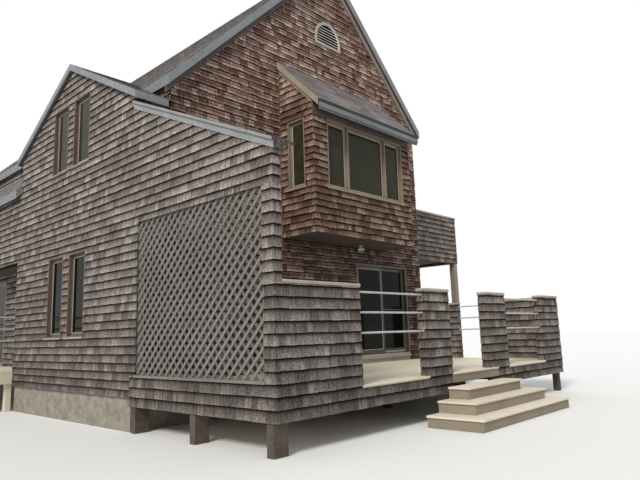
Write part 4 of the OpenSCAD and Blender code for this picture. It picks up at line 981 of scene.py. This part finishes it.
def lay_front_deck():
    """Deck boards, a thin nosing between the parapets, and the edge board at the steps."""
    boards, edge = Builder(), Builder()
    top, a, b = deck_hi.z, min(fascia_ends), max(fascia_ends)
    lay_boards(boards, Vector((deck_lo.x, deck_y, top - BOARD_T)), deck_hi, 0, DECK_GAP, DECK_EASED)
    edge.board((a, deck_lo.y, deck_lo.z), (b, deck_y, top - NOSE_T), EDGE_EASED)
    edge.finish("deck_edge_board", SHADED_DECK_PAINT, "deck_wood")
    for a, y, b in ((a, deck_lo.y, b), (front_posts[0][1].x, deck_y, front_posts[1][0].x),
                    (front_posts[2][1].x, deck_y, front_posts[3][0].x)):
        boards.board((a, y - NOSE, top - NOSE_T), (b, deck_y + NOSE_IN, top + HAIR), NOSE_EASED)
    boards.board((deck_hi.x - NOSE_IN, corner_post[1].y, top - NOSE_T),
                 (deck_hi.x + NOSE, back_post[0].y, top + HAIR), NOSE_EASED)
    boards.finish("deck_boards", DECK_PAINT, "deck_wood", replaces=("deck_floor",))


def lay_side_deck():
    """Boards on a rim and four posts."""
    boards = Builder()
    low, high = side_deck_lo, side_deck_hi
    floor, rim_z = high.z - BOARD_T, high.z - RIM_H
    x0, y0, y1 = low.x + JOIST_W, low.y + JOIST_W, high.y - JOIST_W
    lay_boards(boards, Vector((low.x, low.y, floor)), high, 1)
    boards.board((low.x, low.y, rim_z), (high.x, y0, floor))
    boards.board((low.x, y1, rim_z), (high.x, high.y, floor))
    boards.board((low.x, y0, rim_z), (x0, y1, floor))
    for x, y in product((x0, left_x - POST_W), (y0, y1 - POST_W)):
        boards.board((x, y, 0), (x + POST_W, y + POST_W, floor))
    boards.finish("side_deck_boards", DECK_PAINT, "deck_wood", replaces=("side_deck",))


def build_steps():
    treads, risers = Builder(), Builder()
    nodes = ("step_low", "step_middle", "step_top")
    for low, high in map(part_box, nodes):
        under, x0, x1, y = high.z - TREAD_T, low.x + NOSING, high.x - NOSING, low.y + NOSING
        treads.board((low.x, low.y, under), high, TREAD_EASED)
        risers.board((x0, y, low.z), (x1, y + RISER_T, under))
        for x in (x0, x1 - RISER_T):
            risers.board((x, y + RISER_T, low.z), (x + RISER_T, high.y, under))
        risers.board((x0 + RISER_T, high.y - RISER_T, low.z), (x1 - RISER_T, high.y, under))
    treads.finish("step_treads", DECK_PAINT, "deck_wood", replaces=nodes)
    risers.finish("step_risers", SHADED_DECK_PAINT, "deck_wood")


def build_caps():
    """The caps of the deck's parapets, and a ring of boards on the balcony's."""
    caps, width = [], parapet_t + 2 * (deck_y - caps_lo.y)
    for low, high in solids("parapet_caps"):
        if low.x > left_x and min((high - low)[:2]) > width + NEAR:
            caps += [(low, (high.x, low.y + width, high.z)), ((high.x - width, low.y + width, low.z), high)]
        else:
            caps.append((low, high))
    make_boards("cap_boards", caps, CAP_EASED, CAP_WOOD, "deck_wood", replaces=("parapet_caps",))
    high = balcony_hi + Vector((CAP_OUT, CAP_OUT, CAP_RISE))
    under, low_y = balcony_hi.z - cap_t - CAP_OUT, balcony_lo.y - CAP_OUT
    broad = balcony_wall_t + 2 * (TRIM_T + CAP_OUT)
    ring = (((right_x, low_y, under), (high.x, low_y + broad, high.z)),
            ((right_x, high.y - broad, under), high),
            ((high.x - broad, low_y + broad, under), (high.x, high.y - broad, high.z)))
    make_boards("balcony_cap_boards", ring, RING_EASED, CAP_WOOD, "weathered_shingle")


def build_rails():
    """Smooth pipes with a flange at each end."""
    pipes = Builder()
    for low, high in solids("pipe_rails"):
        spans = high - low
        axis = 0 if spans.x > spans.y else 1
        way, length, radius = (X, Y)[axis], spans[axis], spans[1 - axis] / 2
        start = (low + high) / 2
        start[axis] = low[axis]
        flange = [(radius + out, along) for out, along in FLANGE]
        pipes.lathe([(radius, 0.0), (radius, length)], start, way, 24)
        pipes.lathe(flange, start, way, 24)
        pipes.lathe(flange, start + way * length, -way, 24)
    smooth(pipes.finish("pipe_rails_turned", PIPE, "pipe_metal", replaces=("pipe_rails",)))


def line_lattice():
    """A ledge under the lattice, and stops that hold it at its sides and head."""
    a, b, y0, y1 = lattice_hi.x, screen_hi.x, lattice_lo.y, lattice_hi.y
    z0, z1 = lattice_lo.z + LEDGE_UP, lattice_hi.z - STOP_T
    boards = (((left_x - LEDGE_OUT, y0 - LEDGE_PAST, lattice_lo.z - LEDGE_DOWN),
               (b + LEDGE_OUT, y1 + LEDGE_PAST, z0)),
              ((a, y0, z1), (b, y1, lattice_hi.z)), ((a, y0, z0), (b, y0 + STOP_T, z1)),
              ((a, y1 - STOP_T, z0), (b, y1, z1)))
    make_boards("lattice_liner", boards, EASED, LATTICE_LEDGE, "grey_trim")


def at_outside(low, high, inward, outward):
    """The axis across a window or pane, and the corners of a box about its outer side."""
    spans = high - low
    axis = 0 if spans.x < spans.y else 1
    side = 1 if (low + high)[axis] > (cad_low + cad_high)[axis] + 1e-6 else -1
    if bay_lo.x - BAY_ROOM < low.x < bay_hi.x + BAY_ROOM and low.y < front_y:
        side = 1 if axis == 0 and low.x > ridge_x else -1
    at = (high if side > 0 else low)[axis]
    a, b = low.copy(), high.copy()
    a[axis], b[axis] = sorted((at - side * inward, at + side * outward))
    return axis, a, b


def set_beads():
    """Thin pale beads round the outside of every window's panes."""
    beads = Builder()
    for low, high in solids("window_glass"):
        axis, a, b = at_outside(low, high, 0, BEAD_T)
        left, right, foot, head = b.copy(), a.copy(), b.copy(), a.copy()
        left[1 - axis], right[1 - axis] = a[1 - axis] + BEAD_W, b[1 - axis] - BEAD_W
        foot.z, head.z = a.z + BEAD_W, b.z - BEAD_W
        for p, q in ((a, left), (right, b), (a, foot), (head, b)):
            beads.board(p, q, THIN_EASED)
    beads.finish("window_beads", BEAD_PAINT, "window_wood")


def set_sills():
    """A sill board under every window that stands clear of the floor."""
    sills = Builder()
    for low, high in windows:
        if low.z > foundation_top + DOOR_SILL_ROOM:
            axis, a, b = at_outside(low, high, SILL_IN, SILL_OUT)
            a[1 - axis] -= SILL_OUT
            b[1 - axis] += SILL_OUT
            a.z, b.z = low.z - SILL_DOWN, low.z + SILL_UP
            sills.board(a, b, SILL_EASED)
    sills.finish("window_sills", SILL_WOOD, "window_wood")


def fit_door_and_lamp():
    """Pale edges on the sliding door as painted highlights, a pull on its panel, and the twin lamp under the
    bay.
    """
    for name, body, low, high in (("door_frame_highlight_edge", "house", door_lo, door_hi),
                                  ("door_panel_highlight_edge", "front_door", panel_lo, panel_hi)):
        y0, y1 = low.y - HAIR, low.y + EDGE_IN
        edges = (((low.x, y0, low.z), (low.x + EDGE_W, y1, high.z)),
                 ((high.x - EDGE_W, y0, low.z), (high.x, y1, high.z)),
                 ((low.x, y0, low.z), (high.x, y1, low.z + 3 * EDGE_W)))
        make_boards(name, edges, THIN_EASED, DOOR_EDGE_HIGHLIGHT, "door_metal", body=body)
    pull, lamp = Builder(), Builder()
    x, z = panel_hi.x - PULL_IN, panel_lo.z + PULL_UP
    pull.board((x - PULL_W, panel_lo.y - HAIR, z - PULL_H),
               (x + PULL_W, panel_lo.y + PULL_T, z + PULL_H), 0.0005)
    for end in (-GRIP_AT, GRIP_AT):
        pull.lathe(GRIP_STEM, Vector((x, panel_hi.y, z + end)), Y, 14)
    pull.lathe(GRIP, Vector((x, panel_hi.y + GRIP_STEM[-1][1], z - GRIP[-1][1] / 2)), Z, 14)
    smooth(pull.finish("door_pull", DARK_METAL, "door_metal", body="front_door"))
    hub = Vector((bay_lo.x + LAMP_IN, front_y - LAMP_OUT, bay_floor_z))
    lamp.lathe(LAMP_HUB, hub, -Z)
    for side in (-1, 1):
        lamp.lathe(LAMP_SHADE, hub - Z * LAMP_DOWN, Vector((side, -0.6, -0.8)).normalized())
    smooth(lamp.finish("bay_lamp", LAMP_WHITE, "grey_trim"))


# The stage, the light and the camera

def set_stage():
    scene = bpy.context.scene
    scene.view_settings.view_transform = "Standard"
    middle = (cad_low + cad_high) / 2
    angles = [2 * math.pi * i / FLOOR_STEPS for i in range(FLOOR_STEPS)]
    mesh = bpy.data.meshes.new("floor")
    mesh.from_pydata([(middle.x + FLOOR_R * math.cos(angle), middle.y + FLOOR_R * math.sin(angle),
                       cad_low.z - FLOOR_DOWN) for angle in angles], [], [list(range(FLOOR_STEPS))])
    mesh.materials.append(Shader("floor_pale", 0.9, 0.1).done(FLOOR_COLOUR))
    floor = bpy.data.objects.new("floor", mesh)
    scene.collection.objects.link(floor)
    scene.world = bpy.data.worlds.new("studio")
    scene.world.use_nodes = True
    world = Nodes(scene.world.node_tree)
    shade = world.tree.nodes["Background"]
    world.set(shade, {"Color": SKY_COLOUR, "Strength": SKY})
    seen = world.add("ShaderNodeBackground", {"Color": (1, 1, 1, 1)})
    path = world.add("ShaderNodeLightPath").outputs
    shown = path["Is Camera Ray"]
    for ray in ("Is Glossy Ray", "Is Transmission Ray"):
        shown = world.maths("MAXIMUM", shown, path[ray])
    mixed = world.add("ShaderNodeMixShader", {0: shown, 1: shade.outputs[0], 2: seen.outputs[0]})
    world.set(world.tree.nodes["World Output"], {0: mixed.outputs[0]})
    for name, energy, spread, colour, source in LIGHTS:
        light = bpy.data.lights.new(name, "SUN")
        light.energy, light.angle, light.color = energy, math.radians(spread), colour
        lamp = bpy.data.objects.new(name, light)
        lamp.rotation_mode = "QUATERNION"
        lamp.rotation_quaternion = Vector(source).to_track_quat("Z", "Y")
        scene.collection.objects.link(lamp)


def place_camera():
    turn = Matrix((CAMERA_RIGHT, -CAMERA_DOWN, -CAMERA_FORWARD)).transposed()
    lens = bpy.data.cameras.new("camera")
    lens.sensor_width, lens.lens, lens.clip_end = SENSOR, LENS, FAR
    camera = bpy.data.objects.new("camera", lens)
    camera.matrix_world = Matrix.Translation(CAMERA_PLACE) @ turn.to_4x4()
    bpy.context.scene.collection.objects.link(camera)
    bpy.context.scene.camera = camera


dress_frame()
shingle_left_side()
shingle_screen_inside()
shingle_deck_front()
shingle_parapets()
shingle_front()
shingle_bay()
shingle_porch()
shingle_cheek()
shingle_rear()
shingle_right()
shingle_balcony()
lay_main_roof()
lay_side_roofs()
lay_front_deck()
lay_side_deck()
build_steps()
build_caps()
build_rails()
line_lattice()
set_beads()
set_sills()
fit_door_and_lamp()
set_stage()
place_camera()
